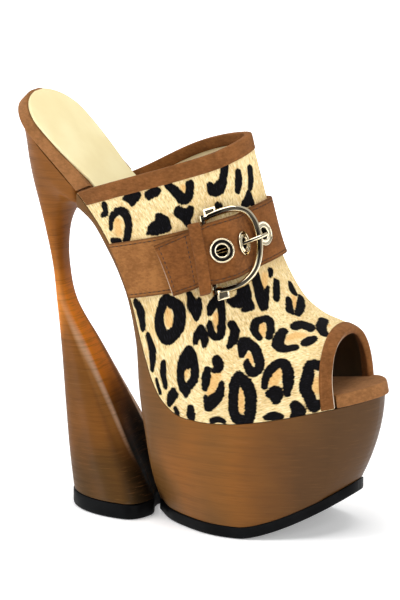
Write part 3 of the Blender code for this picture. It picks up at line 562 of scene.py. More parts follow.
def read_grid(grid, row, arch):
    """Value of a grid between its points, at a row of the table and a share of the arch."""
    i = np.clip(np.asarray(row, float) / LAST_ROW, 0.0, 1.0) * ROW_SAMPLES
    j = np.clip(np.asarray(arch, float), 0.0, 1.0) * SECTION_SAMPLES
    i0 = np.minimum(i.astype(int), ROW_SAMPLES - 1)
    j0 = np.minimum(j.astype(int), SECTION_SAMPLES - 1)
    u = (i - i0)[..., None]
    v = (j - j0)[..., None]
    near = grid[i0, j0] * (1 - v) + grid[i0, j0 + 1] * v
    far = grid[i0 + 1, j0] * (1 - v) + grid[i0 + 1, j0 + 1] * v
    return near * (1 - u) + far * u


def upper_point(row, arch, offset=0.0):
    """Point of the upper's outer face, moved out along its normal by an offset."""
    row, arch, offset = np.broadcast_arrays(np.asarray(row, float), np.asarray(arch, float), offset)
    normal = read_grid(UPPER_NORMALS, row, arch)
    normal = normal / np.linalg.norm(normal, axis=-1, keepdims=True)
    return read_grid(UPPER_GRID, row, arch) + normal * np.asarray(offset, float)[..., None]


def path_length(points):
    """Length along a row of points up to each one."""
    return np.concatenate([[0.0], np.cumsum(np.linalg.norm(np.diff(points, axis=0), axis=1))])


def row_at(row, arch, distance):
    """Row reached from another row by going a distance over the surface, towards the toe if positive."""
    rows = np.linspace(0.0, LAST_ROW, ROW_FINER * ROW_SAMPLES + 1)
    length = path_length(read_grid(UPPER_GRID, rows, np.full_like(rows, arch)))
    return float(np.interp(np.interp(row, rows, length) + distance, length, rows))


def collar_row(arch):
    """Row of the collar's edge at a share of the arch."""
    return np.maximum(smooth(COLLAR_DIP["arch"], COLLAR_DIP["row"], arch), 0.0)


def toe_row(arch):
    """Row of the peep toe's edge, the same all round."""
    return np.full_like(np.asarray(arch, float), LAST_ROW)


def edge_point(edge_row, inward, arch, distance, offset):
    """Point a distance in from an open edge of the upper, or out past the edge if negative."""
    if distance >= 0.0:
        return upper_point(row_at(edge_row, arch, inward * distance), arch, offset)
    inside = upper_point(row_at(edge_row, arch, inward), arch)
    away = upper_point(edge_row, arch) - inside
    return upper_point(edge_row, arch, offset) - away * distance / np.linalg.norm(away)


# Lines of the straps over the upper

PATH_SAMPLES = 401
PATH_ARCH = np.linspace(0.0, 1.0, PATH_SAMPLES)
PATH_ROW = smooth(STRAP_PATH["arch"], STRAP_PATH["row"], PATH_ARCH)
PATH_LENGTH = path_length(read_grid(UPPER_GRID, PATH_ROW, PATH_ARCH))
STRAP_END = PATH_LENGTH[-1] - STRAP_CLEAR


def strap_point(reach, across, rise):
    """Point a length along the straps from the lateral end, across them towards the toe, over the upper."""
    lean = np.interp(reach, STRAP_LEAN["reach"], STRAP_LEAN["lean"])
    arch = float(np.interp(reach - lean * across, PATH_LENGTH, PATH_ARCH))
    row = row_at(float(np.interp(arch, PATH_ARCH, PATH_ROW)), arch, across)
    return upper_point(row, arch, rise)


def strap_value(columns, name, reach):
    """Column of a strap's table at a length along it."""
    keys = columns["reach"]
    return float(smooth(keys, columns[name], np.clip(reach, keys[0], keys[-1])))


def billet_top(reach):
    """Rise of the billet strap's top at a length along it."""
    return max(strap_value(BILLET, "lift", reach), GAP) + STRAP_THICK


def eyelet_frame(reach):
    """Centre on the billet strap's top, and the directions across it, along it and out of it."""
    centre = strap_point(reach, 0.0, billet_top(reach))
    along = strap_point(reach + 1.0, 0.0, billet_top(reach + 1.0)) - centre
    across = strap_point(reach, 1.0, billet_top(reach)) - centre
    out = np.cross(across, along)
    out = out / np.linalg.norm(out)
    along = along / np.linalg.norm(along)
    return centre, np.cross(along, out), along, out


# Tools for making pieces

# Angles in degrees above which the shading keeps an edge
EDGE_ANGLE = 35.0
SOFT_ANGLE = 40.0
BODY_ANGLE = 50.0
BAND_ANGLE = 60.0

MERGE_GAP = 1e-7
TWIST_START = (0.3, 0.2, 0.9)


def add_grid(name, points):
    """Grid primitive with a vertex at each place of a table of points in millimetres."""
    points = np.asarray(points, float)
    rows, columns = points.shape[:2]
    bpy.ops.object.select_all(action="DESELECT")
    bpy.ops.mesh.primitive_grid_add(
        x_subdivisions=columns - 1, y_subdivisions=rows - 1, size=1.0, calc_uvs=False, location=(0, 0, 0))
    piece = bpy.context.active_object
    piece.name = name
    piece.data.name = name
    piece.data.vertices.foreach_set("co", (points * MM).ravel())
    piece.data.update()
    return piece


def pick(piece):
    """Makes a piece the only selected one, and the active one."""
    bpy.ops.object.select_all(action="DESELECT")
    piece.select_set(True)
    bpy.context.view_layer.objects.active = piece


def soften(piece, degrees=SOFT_ANGLE):
    """Smooth shading that keeps edges sharper than an angle."""
    pick(piece)
    bpy.ops.object.shade_smooth_by_angle(angle=math.radians(degrees))


def close_up(piece):
    """Merges the seams of a piece's mesh, fills the holes that are left and turns the faces outwards."""
    pick(piece)
    bpy.ops.object.mode_set(mode="EDIT")
    bpy.ops.mesh.select_all(action="SELECT")
    bpy.ops.mesh.remove_doubles(threshold=MERGE_GAP)
    bpy.ops.mesh.fill_holes(sides=0)
    bpy.ops.mesh.select_all(action="SELECT")
    bpy.ops.mesh.normals_make_consistent(inside=False)
    bpy.ops.object.mode_set(mode="OBJECT")


def loft(name, rings, degrees=SOFT_ANGLE):
    """Closed body through rings of equal point counts."""
    rings = np.asarray(rings, float)
    piece = add_grid(name, np.concatenate([rings, rings[:, :1]], axis=1))
    close_up(piece)
    soften(piece, degrees)
    return piece


def apply_modifier(piece, kind, **settings):
    """Adds a modifier with these settings and applies it."""
    modifier = piece.modifiers.new(kind.lower(), kind)
    for key, value in settings.items():
        setattr(modifier, key, value)
    bpy.context.view_layer.objects.active = piece
    bpy.ops.object.modifier_apply(modifier=modifier.name)


def cut_away(piece, cutter):
    """Cuts another mesh object out of a piece, and removes the cutter."""
    apply_modifier(piece, "BOOLEAN", operation="DIFFERENCE", solver="EXACT", object=cutter)
    bpy.data.objects.remove(cutter)


def join_pieces(name, pieces):
    """Joins mesh objects into the first one."""
    bpy.ops.object.select_all(action="DESELECT")
    for piece in pieces:
        piece.select_set(True)
    bpy.context.view_layer.objects.active = pieces[0]
    bpy.ops.object.join()
    pieces[0].name = name
    pieces[0].data.name = name
    return pieces[0]


def mark(piece, name, values, kind="FLOAT"):
    """Writes one value for each vertex as an attribute that a finish reads."""
    attribute = piece.data.attributes.new(name, kind, "POINT")
    key = "vector" if kind == "FLOAT_VECTOR" else "value"
    attribute.data.foreach_set(key, np.asarray(values, np.float32).ravel())


def vertex_places(piece):
    """Places of a piece's vertices in millimetres."""
    places = np.empty(len(piece.data.vertices) * 3)
    piece.data.vertices.foreach_get("co", places)
    return places.reshape(-1, 3) / MM


def nearest_gap(places, line):
    """Distance from each place to the nearest point of a line."""
    line = np.asarray(line, float)
    return np.array([np.min(np.linalg.norm(line - place, axis=1)) for place in places])


def dress(piece, finish, slot, *nodes):
    """Gives a piece its finish and says which solids it stands for; its slot is not used."""
    piece.data.materials.clear()
    piece.data.materials.append(finish)
    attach(piece, "root")
    if nodes:
        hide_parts(*nodes)


def round_turn(sides):
    """Cosines and sines of equal steps round a full turn, as columns."""
    turn = 2 * math.pi * np.arange(sides) / sides
    return np.cos(turn)[:, None], np.sin(turn)[:, None]


def quarter_turn(steps):
    """Distances in from the two sides of a rounded corner of unit size, from one side to the other."""
    turn = np.linspace(0.0, math.pi / 2, steps)
    return 1.0 - np.cos(turn), 1.0 - np.sin(turn)


def wire(name, points, radius, sides):
    """Round wire along points, with a steady twist."""
    points = np.asarray(points, float)
    tangent = np.gradient(points, axis=0)
    tangent = tangent / np.linalg.norm(tangent, axis=1, keepdims=True)
    side = np.cross(tangent[0], TWIST_START)
    cosine, sine = round_turn(sides)
    rings = []
    for point, way in zip(points, tangent):
        side = side - way * np.dot(side, way)
        side = side / np.linalg.norm(side)
        rings.append(point + radius * (cosine * side + sine * np.cross(way, side)))
    return loft(name, rings)


# Heel, platform and soles

HEEL_SIDES = 80
HEEL_RINGS = 110
HEEL_FIRST = 0.05
HEEL_EASE = 0.35
TIP_TOP_EASE = 0.3
TIP_STEPS = 6
PLATFORM_WIDE = 13
PLATFORM_DEEP = 36
PLATFORM_STEP = 0.125
PLATFORM_TOE = 26
TOE_CLOSE = 0.02
OUTSOLE_RINGS = 90
OUTSOLE_EASE = 0.9
OUTSOLE_TOP_EASE = 0.3
OUTSOLE_STEPS = 5


def heel_ring(row, shift=0.0, grow=0.0):
    """Ring of the heel at a row of its table, from the base to the seat, moved up and grown."""
    value = table_row(HEEL, row)
    span_x = value["front_x"] - value["back_x"]
    span_z = value["front_z"] - value["back_z"]
    widest = value["widest"]
    points = []
    for k in range(HEEL_SIDES):
        cosine = math.cos(2 * math.pi * k / HEEL_SIDES)
        sine = math.sin(2 * math.pi * k / HEEL_SIDES)
        square = value["front_square"] if cosine > 0 else value["back_square"]
        reach = 1.0 - widest if cosine > 0 else widest
        along = widest + math.copysign(abs(cosine) ** (2 / square), cosine) * reach
        across = math.copysign(abs(sine) ** (2 / square), sine)
        middle = max(1.0 - (across / HOLLOW_HALF) ** 2, 0.0) if cosine > 0 else 0.0
        x = value["back_x"] + along * span_x - value["hollow"] * middle**2 + (2 * along - 1) * grow
        points.append((x, across * (value["half"] + grow), value["back_z"] + along * span_z + shift))
    return points


def make_heel(wood, rubber):
    """Carved heel, and the rubber lift under it."""
    rings = [heel_ring(0.0, 0.0, -HEEL_EASE), heel_ring(0.0, HEEL_EASE)]
    rings += [heel_ring(row) for row in np.linspace(HEEL_FIRST, len(HEEL["half"]) - 1, HEEL_RINGS)]
    dress(loft("heel_block", rings, BODY_ANGLE), wood, "wood", "heel")
    base = HEEL["back_z"][0]
    tip = [heel_ring(0.0, -GAP, TIP_PROUD - TIP_TOP_EASE), heel_ring(0.0, -GAP - TIP_TOP_EASE, TIP_PROUD)]
    for inside, rise in zip(*quarter_turn(TIP_STEPS)):
        tip.append(heel_ring(0.0, TIP_EASE * rise - base, TIP_PROUD - TIP_EASE * inside))
    dress(loft("heel_lift", tip, BODY_ANGLE), rubber, "rubber", "heel_tip")


def platform_ring(row):
    """Ring of the platform at a row of its table, from the shank's top to the toe."""
    value = table_row(PLATFORM, row)
    top_x, top_z = bed_point(value["bed_x"], BED_THICK + GAP)
    low_x = value["under_x"]
    low_z = max(value["under_rise"], 0.0) + float(sole_line(low_x)) + OUTSOLE_THICK + GAP
    toe = float(rounded(PLATFORM["bed_x"][-1] + WOOD_MARGIN - value["bed_x"], TOE_ROUND))
    spread = np.linspace(-1.0, 1.0, PLATFORM_WIDE)
    depth = np.linspace(0.0, 1.0, PLATFORM_DEEP + 1)[1:]
    x = top_x + (low_x - top_x) * depth ** value["curl"]
    sides = {}
    for side, sign in (("lateral", -1.0), ("medial", 1.0)):
        high = max((float(bed_half(value["bed_x"], side)) + WOOD_MARGIN) * toe, LEAST_HALF)
        low = max(value[side] * toe, LEAST_HALF)
        y = low + (high - low) * (1.0 - depth ** value["bulge"])
        drawn = np.stack([x, sign * y, top_z + (low_z - top_z) * depth], -1)
        sides[side] = (high, low, drawn)
    top = [sides["medial" if v > 0 else "lateral"][0] * v for v in spread]
    low = [sides["medial" if v > 0 else "lateral"][1] * v for v in spread]
    ring = [(top_x, y, top_z) for y in top] + list(sides["medial"][2])
    ring += [(low_x, y, low_z) for y in low[-2:0:-1]]
    return ring + list(sides["lateral"][2][::-1])


def make_platform(wood):
    """Platform with its shank, closed at the toe by a narrow last ring."""
    last = len(PLATFORM["bed_x"]) - 1
    toe = last - 1 + np.sin(np.linspace(0.0, math.pi / 2, PLATFORM_TOE))
    rows = np.concatenate([np.arange(0.0, last - 1, PLATFORM_STEP), toe])
    rings = [np.array(platform_ring(row)) for row in rows]
    rings.append(rings[-1] * (1.0, TOE_CLOSE, 1.0))
    dress(loft("platform_block", rings, BODY_ANGLE), wood, "wood", "platform")


def make_outsole(rubber):
    """Rubber sole with eased edges."""
    start = PLATFORM["under_x"][ON_SOLE][0] - OUTSOLE_PROUD
    end = PLATFORM["under_x"][-1] + OUTSOLE_PROUD
    slow, fast = quarter_turn(OUTSOLE_STEPS)
    corner = list(zip(OUTSOLE_EASE * slow, OUTSOLE_EASE * fast))
    rings = []
    for x in stations(start, end, OUTSOLE_RINGS, 0.0, OUTSOLE_ROUND, [SPRING_START]):
        lateral = outsole_half(x, "lateral")
        medial = outsole_half(x, "medial")
        low = float(sole_line(x))
        high = low + OUTSOLE_THICK
        shoulder = high - OUTSOLE_TOP_EASE
        ring = [(x, OUTSOLE_TOP_EASE - lateral, high), (x, medial - OUTSOLE_TOP_EASE, high)]
        ring.append((x, medial, shoulder))
        ring += [(x, medial - inside, low + rise) for inside, rise in corner]
        ring += [(x, inside - lateral, low + rise) for inside, rise in corner[::-1]]
        ring.append((x, -lateral, shoulder))
        rings.append(ring)
    dress(loft("outsole_rubber", rings, EDGE_ANGLE), rubber, "rubber", "outsole")


# Footbed and insole

BED_SECTIONS = 150
BED_WIDE = 15
BED_EASE = 1.5
LOW_EASE = 0.6
SLAB_STEPS = 6
SOCK_EASE = 0.55
SOCK_LOW = -0.05
RIM_FADE = 1.1
RIM_DARK = 0.9
COLLAR_LEAN = 0.28
COLLAR_FADE = 12.0
TOE_LEAN = 0.09
TOE_FADE = 9.0


def edge_lean(x):
    """How far the footbed's section at x leans forward for each millimetre up, as the upper's edges do."""
    collar = COLLAR_LEAN * max(1.0 - abs(x - COLLAR_X) / COLLAR_FADE, 0.0)
    return collar + TOE_LEAN * max(1.0 - abs(x - TOE_X) / TOE_FADE, 0.0)


def slab(name, places, top, bottom, half, ease, lean=None):
    """Slab along the footbed between two drops below its top, with rounded edges."""
    spread = np.linspace(-1.0, 1.0, BED_WIDE)
    slow, fast = quarter_turn(SLAB_STEPS)
    rings = []
    for x in places:
        lateral, medial = half(x)
        soft = min(ease, lateral / 2, medial / 2)
        under = min(soft, LOW_EASE)
        tilt = lean(x) if lean else 0.0
        flat = spread * (np.where(spread > 0.0, medial, lateral) - soft)
        outline = [(y, top) for y in flat]
        outline += zip(medial - soft * fast[1:], top + soft * slow[1:])
        outline += zip(medial - under * slow[:-1], bottom - under * fast[:-1])
        outline += [(y, bottom) for y in flat[::-1]]
        outline += zip(under * fast[1:] - lateral, bottom - under * slow[1:])
        outline += zip(soft * slow[:-1] - lateral, top + soft * fast[:-1])
        ring = []
        for y, drop in outline:
            level_x, level_z = bed_point(x + tilt * (bottom - drop), drop)
            ring.append((float(level_x), y, float(level_z)))
        rings.append(ring)
    return loft(name, rings, BODY_ANGLE)


def bed_places():
    """X places of the footbed's sections, with those where it steps in and where the insole ends."""
    steps = [COLLAR_X - STEP_BEHIND - STEP_RAMP, COLLAR_X - STEP_BEHIND, SOCK_END]
    steps += [TOE_X + STEP_AHEAD, TOE_X + STEP_AHEAD + STEP_RAMP]
    return stations(BED["x"][0] + GAP, BED["x"][-1] - GAP, BED_SECTIONS, HEEL_ROUND, TOE_ROUND, steps)


def make_footbed(suede, sock):
    """Footbed, darker along the insole's edge, and the insole on it."""
    places = bed_places()
    board = slab("footbed_board", places, 0.0, BED_THICK, footbed_half, BED_EASE, edge_lean)
    start = BED["x"][0] + SOCK_BACK + GAP
    rim = []
    for x in places[(places >= start) & (places <= COLLAR_X)]:
        lateral, medial = insole_half(x)
        level_x, level_z = bed_point(x)
        rim += [(float(level_x), y, float(level_z)) for y in (-lateral, medial)]
    mark(board, "edge", np.clip(1.0 - RIM_FADE * nearest_gap(vertex_places(board), rim), 0.0, RIM_DARK))
    dress(board, suede, "suede", "footbed")
    shared = places[(places > start + SOCK_ROUND) & (places <= SOCK_END)]
    places = np.concatenate([stations(start, start + SOCK_ROUND, 2, SOCK_ROUND, 0.0), shared])
    piece = slab("insole_sock", places, -GAP - SOCK_THICK, SOCK_LOW, insole_half, SOCK_EASE)
    dress(piece, sock, "sock", "insole")


# Upper

PELT_ROWS = 190
PELT_COLUMNS = 210
LINING_ROWS = 70
LINING_COLUMNS = 90
LINING_CLEAR = 0.002
LINING_GAP = 0.1
NAP_ACROSS = 190.0
NAP_ALONG = 22.0

# Print: how far from a stroke distances are kept, how far its dark reaches past its half width, how finely
# it is drawn, which strokes the inner side repeats and how they are moved, and the half width of the patch
# of painted shade under the first eyelet
FAR_OFF = 9.0
SPOT_FULL = 0.5
STROKE_STEPS = 5
INNER_LIMIT = 0.39
INNER_SHARE = 0.97
INNER_SHIFT = 0.16
HOLE_PATCH = 5.0

# Photograph: where the camera's aim lies in it, its pixels for a millimetre there, and how finely the upper
# is read for it
PHOTO_AIM = (207.8, 315.0)
PHOTO_SCALE = 2.14
CHART_ROWS = 481
CHART_ARCHES = 961


def seen_upper():
    """Rows, shares of the arch and places in the photograph, all over the side of the upper that it shows."""
    row, arch = np.meshgrid(
        np.linspace(0.0, LAST_ROW, CHART_ROWS), np.linspace(0.0, 1.0, CHART_ARCHES), indexing="ij")
    back, right, up = view_axes()
    way = upper_point(row, arch) - np.array(AIM) - back * DISTANCE
    zoom = -PHOTO_SCALE * DISTANCE / (way @ back)
    x = PHOTO_AIM[0] + (way @ right) * zoom
    y = PHOTO_AIM[1] - (way @ up) * zoom
    seen = np.sum(read_grid(UPPER_NORMALS, row, arch) * way, axis=-1) < 0.0
    return row[seen], arch[seen], x[seen], y[seen]


def chart(seen, crop, marks):
    """Strokes on the upper, in its rows and shares of the arch, under marks in a crop of the photograph."""
    row, arch, x, y = seen
    left, top, zoom = crop
    strokes = []
    for points in marks:
        stroke = []
        for across, down, half in points:
            at = np.argmin((x - left - across / zoom) ** 2 + (y - top - down / zoom) ** 2)
            width = round(half / zoom / PHOTO_SCALE, 1)
            stroke.append((round(float(row[at]), 2), round(float(arch[at]), 3), width))
        strokes.append(stroke)
    return strokes


def stroke_distance(places, strokes):
    """Distance in millimetres from each place to the nearest of the brush strokes, less its half width."""
    nearest = np.full(len(places), FAR_OFF)
    for stroke in strokes:
        row, arch, half = np.array(stroke, float).T
        if len(stroke) > 2:
            index = np.arange(len(stroke))
            fine = np.linspace(0.0, index[-1], STROKE_STEPS * index[-1] + 1)
            row, arch, half = (smooth(index, column, fine) for column in (row, arch, half))
        points = upper_point(row, arch)
        middle = points.mean(axis=0)
        reach = np.linalg.norm(points - middle, axis=1).max() + FAR_OFF
        near = np.linalg.norm(places - middle, axis=1) < reach
        around = places[near]
        best = np.linalg.norm(around - points[0], axis=1) - half[0]
        for k in range(len(points) - 1):
            way = points[k + 1] - points[k]
            share = np.clip((around - points[k]) @ way / max(way @ way, 1e-6), 0.0, 1.0)
            gap = np.linalg.norm(around - points[k] - share[:, None] * way, axis=1)
            best = np.minimum(best, gap - half[k] - share * (half[k + 1] - half[k]))
        nearest[near] = np.minimum(nearest[near], best)
    return nearest


def inner_side(strokes):
    """The outer side's strokes laid on the inner side, a little nearer the toe."""
    moved = []
    for stroke in strokes:
        if max(point[1] for point in stroke) < INNER_LIMIT:
            row, arch, half = np.array(stroke, float).T
            row = np.minimum(row * INNER_SHARE + INNER_SHIFT, LAST_ROW)
            moved.append(list(zip(row, 1.0 - arch, half)))
    return moved


def shade_under_eyelet():
    """Painted shade under the first eyelet's hole: a dark patch on the pelt, seen through the hole."""
    arch = float(np.interp(EYELETS["reach"][0], PATH_LENGTH, PATH_ARCH))
    return [[(float(np.interp(arch, PATH_ARCH, PATH_ROW)), arch, HOLE_PATCH)]]


def upper_sheet(rows, columns, clear):
    """Rows and shares of the arch all over the upper, from the toe to the collar's edge."""
    share, arch = np.meshgrid(
        np.linspace(1.0, 0.0, rows), np.linspace(clear, 1.0 - clear, columns), indexing="ij")
    return share * LAST_ROW + (1.0 - share) * collar_row(arch), arch


def make_upper(pelt, lining):
    """Printed pelt, and the lining inside it."""
    row, arch = upper_sheet(PELT_ROWS, PELT_COLUMNS, 0.0)
    places = upper_point(row, arch)
    piece = add_grid("vamp_pelt", places)
    flat = places.reshape(-1, 3)
    seen = seen_upper()
    dark = SET_STROKES + chart(seen, LOW_CROP, LOW_DARK) + chart(seen, HIGH_CROP, HIGH_DARK)
    heart = chart(seen, LOW_CROP, LOW_HEART) + chart(seen, HIGH_CROP, HIGH_HEART)
    # Spots of the print, with a patch of painted shade under the first eyelet's hole
    mark(piece, "spots_and_hole_shade", stroke_distance(flat, dark + inner_side(dark) + shade_under_eyelet()) - SPOT_FULL)
    mark(piece, "heart", stroke_distance(flat, heart + inner_side(heart)))
    nap = np.stack([arch * NAP_ACROSS, row * NAP_ALONG, np.zeros_like(row)], axis=-1)
    mark(piece, "nap", nap, "FLOAT_VECTOR")
    apply_modifier(piece, "SOLIDIFY", thickness=PELT_THICK * MM, offset=-1.0)
    soften(piece, BODY_ANGLE)
    dress(piece, pelt, "pelt", "upper")
    row, arch = upper_sheet(LINING_ROWS, LINING_COLUMNS, LINING_CLEAR)
    piece = add_grid("vamp_lining", upper_point(row, arch, -PELT_THICK - LINING_GAP))
    # How deep inside the upper each point lies, for the lining's painted shade
    mark(piece, "deep", np.clip(row / LAST_ROW, 0.0, 1.0))
    apply_modifier(piece, "SOLIDIFY", thickness=(UPPER_WALL - PELT_THICK - LINING_GAP) * MM, offset=-1.0)
    soften(piece, BODY_ANGLE)
    dress(piece, lining, "sock")


# Bindings: distances in from a band's free edge and heights from its top, with a sewn groove, then its face
BAND_EDGE = [
    (0.05, -BAND_THICK), (0.0, -0.25), (0.15, -0.05), (0.5, 0.0), (1.1, 0.0), (1.4, -0.16), (1.7, 0.0)]
BAND_FACE = (3.2, 2.2, 1.2)
BAND_SWELL = 0.08
BAND_BACK = (1.5, 3.0)
BAND_SOFT = 0.3
BAND_RINGS = 150
FOLD_POINTS = 11

# Painted highlight along the fold of a band: how many points wide, where its first point is, and where it
# fades
PALE_WIDE = 4
PALE_FIRST = table("arch point", [(0.15, 1.0), (0.40, 4.0)])
PALE_START = 0.26
PALE_END = 0.46


def make_binding(name, node, edge, inward, wide, suede, pale=0.0):
    """Thin band folded over an open edge of the upper, with a sewn line and a painted highlight on its fold.
    """
    top = BAND_CLEAR + BAND_THICK
    low = -UPPER_WALL - BAND_CLEAR
    bottom = low - BAND_THICK
    past = BAND_CLEAR + BAND_THICK
    middle = (top + bottom) / 2
    depth = (top - bottom) / 2
    outline = [(wide - inside, top + rise) for inside, rise in BAND_EDGE]
    outline += [(inside, top + BAND_SWELL) for inside in BAND_FACE]
    fold = len(outline)
    for turn in np.linspace(0.0, math.pi, FOLD_POINTS):
        outline.append((-past * math.sin(turn), middle + depth * math.cos(turn)))
    outline += [(inside, bottom) for inside in (*BAND_BACK, BINDING_INSIDE - BAND_SOFT)]
    outline += [(BINDING_INSIDE, bottom + BAND_SOFT), (BINDING_INSIDE, low)]
    outline += [(-BAND_CLEAR, low), (-BAND_CLEAR, BAND_CLEAR)]
    arches = np.linspace(BINDING_CLEAR, 1.0 - BINDING_CLEAR, BAND_RINGS)
    rings = [[edge_point(float(edge(arch)), inward, arch, *place) for place in outline] for arch in arches]
    band = loft(name, rings, BAND_ANGLE)
    places = vertex_places(band)
    raw_edge_and_highlight = np.zeros(len(places))
    # Painted highlight: points along the fold are marked pale
    for arch, ring in zip(arches[arches < PALE_END], rings):
        start = fold + round(np.interp(arch, PALE_FIRST["arch"], PALE_FIRST["point"]))
        strength = pale * np.interp(arch, [PALE_START, PALE_END], [1.0, 0.0])
        for point in ring[start:start + PALE_WIDE]:
            raw_edge_and_highlight[np.argmin(np.linalg.norm(places - point, axis=1))] = strength
    mark(band, "raw_edge_and_highlight", raw_edge_and_highlight)
    dress(band, suede, "suede", node)


# Straps

SEAM_IN = 1.7
SEAM_DEEP = 0.3
SEAM_SIDE = 0.6 * SEAM_DEEP
SEAM_PROFILE = [(-0.5, 0.03), (-0.2, -SEAM_SIDE), (0.0, -SEAM_DEEP), (0.2, -SEAM_SIDE), (0.5, 0.0)]
STRAP_SOFT = 0.55
SOFT_SHARE = 2.2
STRAP_STEPS = 5
STRAP_WIDE = 11
STRAP_INSIDE = 1.5

# Painted shade along a strap's edges and in its sewn grooves: how far from an edge it reaches, how fast it
# fades beside a sewn line, and how dark it is there
EDGE_REACH = 1.2
SEAM_FADE = 2.5
SEAM_DARK = 0.8


def strap_outline(near, far, low, high):
    """Cross-section of a strap as places across it and rises, with a sewn line inside each edge."""
    soft = min(STRAP_SOFT, (high - low) / SOFT_SHARE)
    slow, fast = (soft * side for side in quarter_turn(STRAP_STEPS))
    seam = [(SEAM_IN + inside, high + rise) for inside, rise in SEAM_PROFILE]
    middle = np.linspace(near + SEAM_IN + STRAP_INSIDE, far - SEAM_IN - STRAP_INSIDE, STRAP_WIDE)
    outline = list(zip(near + slow, high - fast))
    outline += [(near + inside, rise) for inside, rise in seam]
    outline += [(across, high) for across in middle]
    outline += [(far - inside, rise) for inside, rise in seam[::-1]]
    outline += zip(far - slow[::-1], high - fast[::-1])
    outline += zip(far - slow, low + fast)
    outline += [(across, low) for across in middle[::-3]]
    outline += zip(near + slow[::-1], low + fast[::-1])
    return outline


def paint_edge_shade(strap, reaches, near, far, top):
    """Marks painted shade along a strap's edges and sewn lines, given as functions of the length along it."""
    edges = [strap_point(at, edge(at), top(at)) for at in reaches for edge in (near, far)]
    seams = [strap_point(at, near(at) + SEAM_IN, top(at) - SEAM_DEEP) for at in reaches]
    seams += [strap_point(at, far(at) - SEAM_IN, top(at) - SEAM_DEEP) for at in reaches]
    places = vertex_places(strap)
    edge = np.clip(EDGE_REACH - nearest_gap(places, edges), 0.0, 1.0)
    seam = np.clip(1.0 - SEAM_FADE * nearest_gap(places, seams), 0.0, SEAM_DARK)
    mark(strap, "edge", np.maximum(edge, seam))


# Rings along the lower strap before and over its fold, and the tools that cut it
FLAT_RINGS = 34
FOLD_RINGS = 30
BORE_POINTS = 25
BORE_SIDES = 20
SLOT_RINGS = 6
SLOT_PAST = 1.0


def make_buckle_strap(suede):
    """Lower strap, folded round the bar, with a bore for the bar and a slot for the prong."""
    flat = BUCKLE_STRAP["reach"][1]
    places = np.concatenate([
        np.linspace(STRAP_CLEAR, flat, FLAT_RINGS, endpoint=False),
        np.linspace(flat, BUCKLE_STRAP["reach"][-1], FOLD_RINGS)])
    rings = []
    for reach in places:
        low = strap_value(BUCKLE_STRAP, "low", reach)
        high = strap_value(BUCKLE_STRAP, "high", reach)
        outline = strap_outline(-STRAP_HALF, STRAP_HALF, low, high)
        rings.append([strap_point(reach, across, rise) for across, rise in outline])
    strap = loft("buckle_strap_suede", rings)
    paint_edge_shade(strap, places, lambda at: -STRAP_HALF, lambda at: STRAP_HALF,
                 lambda at: strap_value(BUCKLE_STRAP, "high", at))
    ends = np.linspace(BOW["across"][0], BOW["across"][-1], BORE_POINTS)
    bar = [strap_point(BAR_REACH, across, BAR_RISE) for across in ends]
    cut_away(strap, wire("bar_bore", bar, WIRE_RADIUS + GAP, BORE_SIDES))
    half = PRONG_SLOT / 2
    corners = [(-half, PRONG_RADIUS), (half, PRONG_RADIUS), (half, SLOT_TOP), (-half, SLOT_TOP)]
    start = PRONG["reach"].min() - PRONG_RADIUS - GAP
    places = np.linspace(start, BUCKLE_STRAP["reach"][-1] + SLOT_PAST, SLOT_RINGS)
    slot = [[strap_point(reach, across, rise) for across, rise in corners] for reach in places]
    cut_away(strap, loft("prong_slot", slot))
    soften(strap)
    dress(strap, suede, "suede", "buckle_strap")


# Rings along the billet strap: beyond its tip, then runs with their starts, ends and counts
TIP_RINGS = (0.0, 0.15, 0.4)
BILLET_RUNS = [(BILLET["reach"][0] + 1.0, 36.0, 22), (36.6, 70.0, 76), (71.0, STRAP_END, 90)]
TIP_CUT = 0.2
TIP_PALE = (1.35, -0.1)
HOLE_DEPTHS = (-2.0, -0.5, 1.0)
HOLE_SIDES = 40


def make_billet_strap(suede):
    """Upper strap whose tip is pale, partly as its raw edge and partly as a painted highlight, with the holes
    for its eyelets.
    """
    runs = [np.linspace(*run) for run in BILLET_RUNS]
    places = np.concatenate([BILLET["reach"][0] + np.array(TIP_RINGS), *runs])
    rings = []
    for reach in places:
        near, far = (strap_value(BILLET, edge, reach) for edge in ("near_edge", "far_edge"))
        top = billet_top(reach)
        outline = strap_outline(near, far, top - STRAP_THICK, top)
        rings.append([strap_point(reach, across, rise) for across, rise in outline])
    tip = np.array(rings[0])
    strap = loft("billet_strap_suede", rings)
    strap_places = vertex_places(strap)
    # The tip is pale partly as its raw edge and partly as a painted highlight that fades towards its top
    raw_edge_and_highlight = np.clip(1.0 - nearest_gap(strap_places, tip) / TIP_CUT, 0.0, 1.0)
    pale = np.interp(strap_places[:, 2], [tip[:, 2].min(), tip[:, 2].max()], TIP_PALE)
    mark(strap, "raw_edge_and_highlight", raw_edge_and_highlight * np.clip(pale, 0.0, 1.0))
    paint_edge_shade(strap, places, lambda at: strap_value(BILLET, "near_edge", at),
                 lambda at: strap_value(BILLET, "far_edge", at), billet_top)
    for reach in EYELETS["reach"]:
        centre, _, _, out = eyelet_frame(reach)
        ends = [centre + out * STRAP_THICK * depth for depth in HOLE_DEPTHS]
        cut_away(strap, wire("eyelet_hole", ends, EYELET_HOLE, HOLE_SIDES))
    soften(strap)
    dress(strap, suede, "suede", "billet_strap")


STITCH_LONG = 1.5
STITCH_EVERY = 2.3
STITCH_RADIUS = 0.24
STITCH_SIDES = 6
STITCH_ROUND = (0.25, 0.85, 1.0, 0.85, 0.25)
STITCH_SIDEWAYS = (0.2, 0.3, 0.9)
STITCH_DIP = 0.12
STITCH_PROUD = 0.1
CROSS_PROUD = 0.15
ROW_START = 2.0
ROW_CLEAR = 1.0


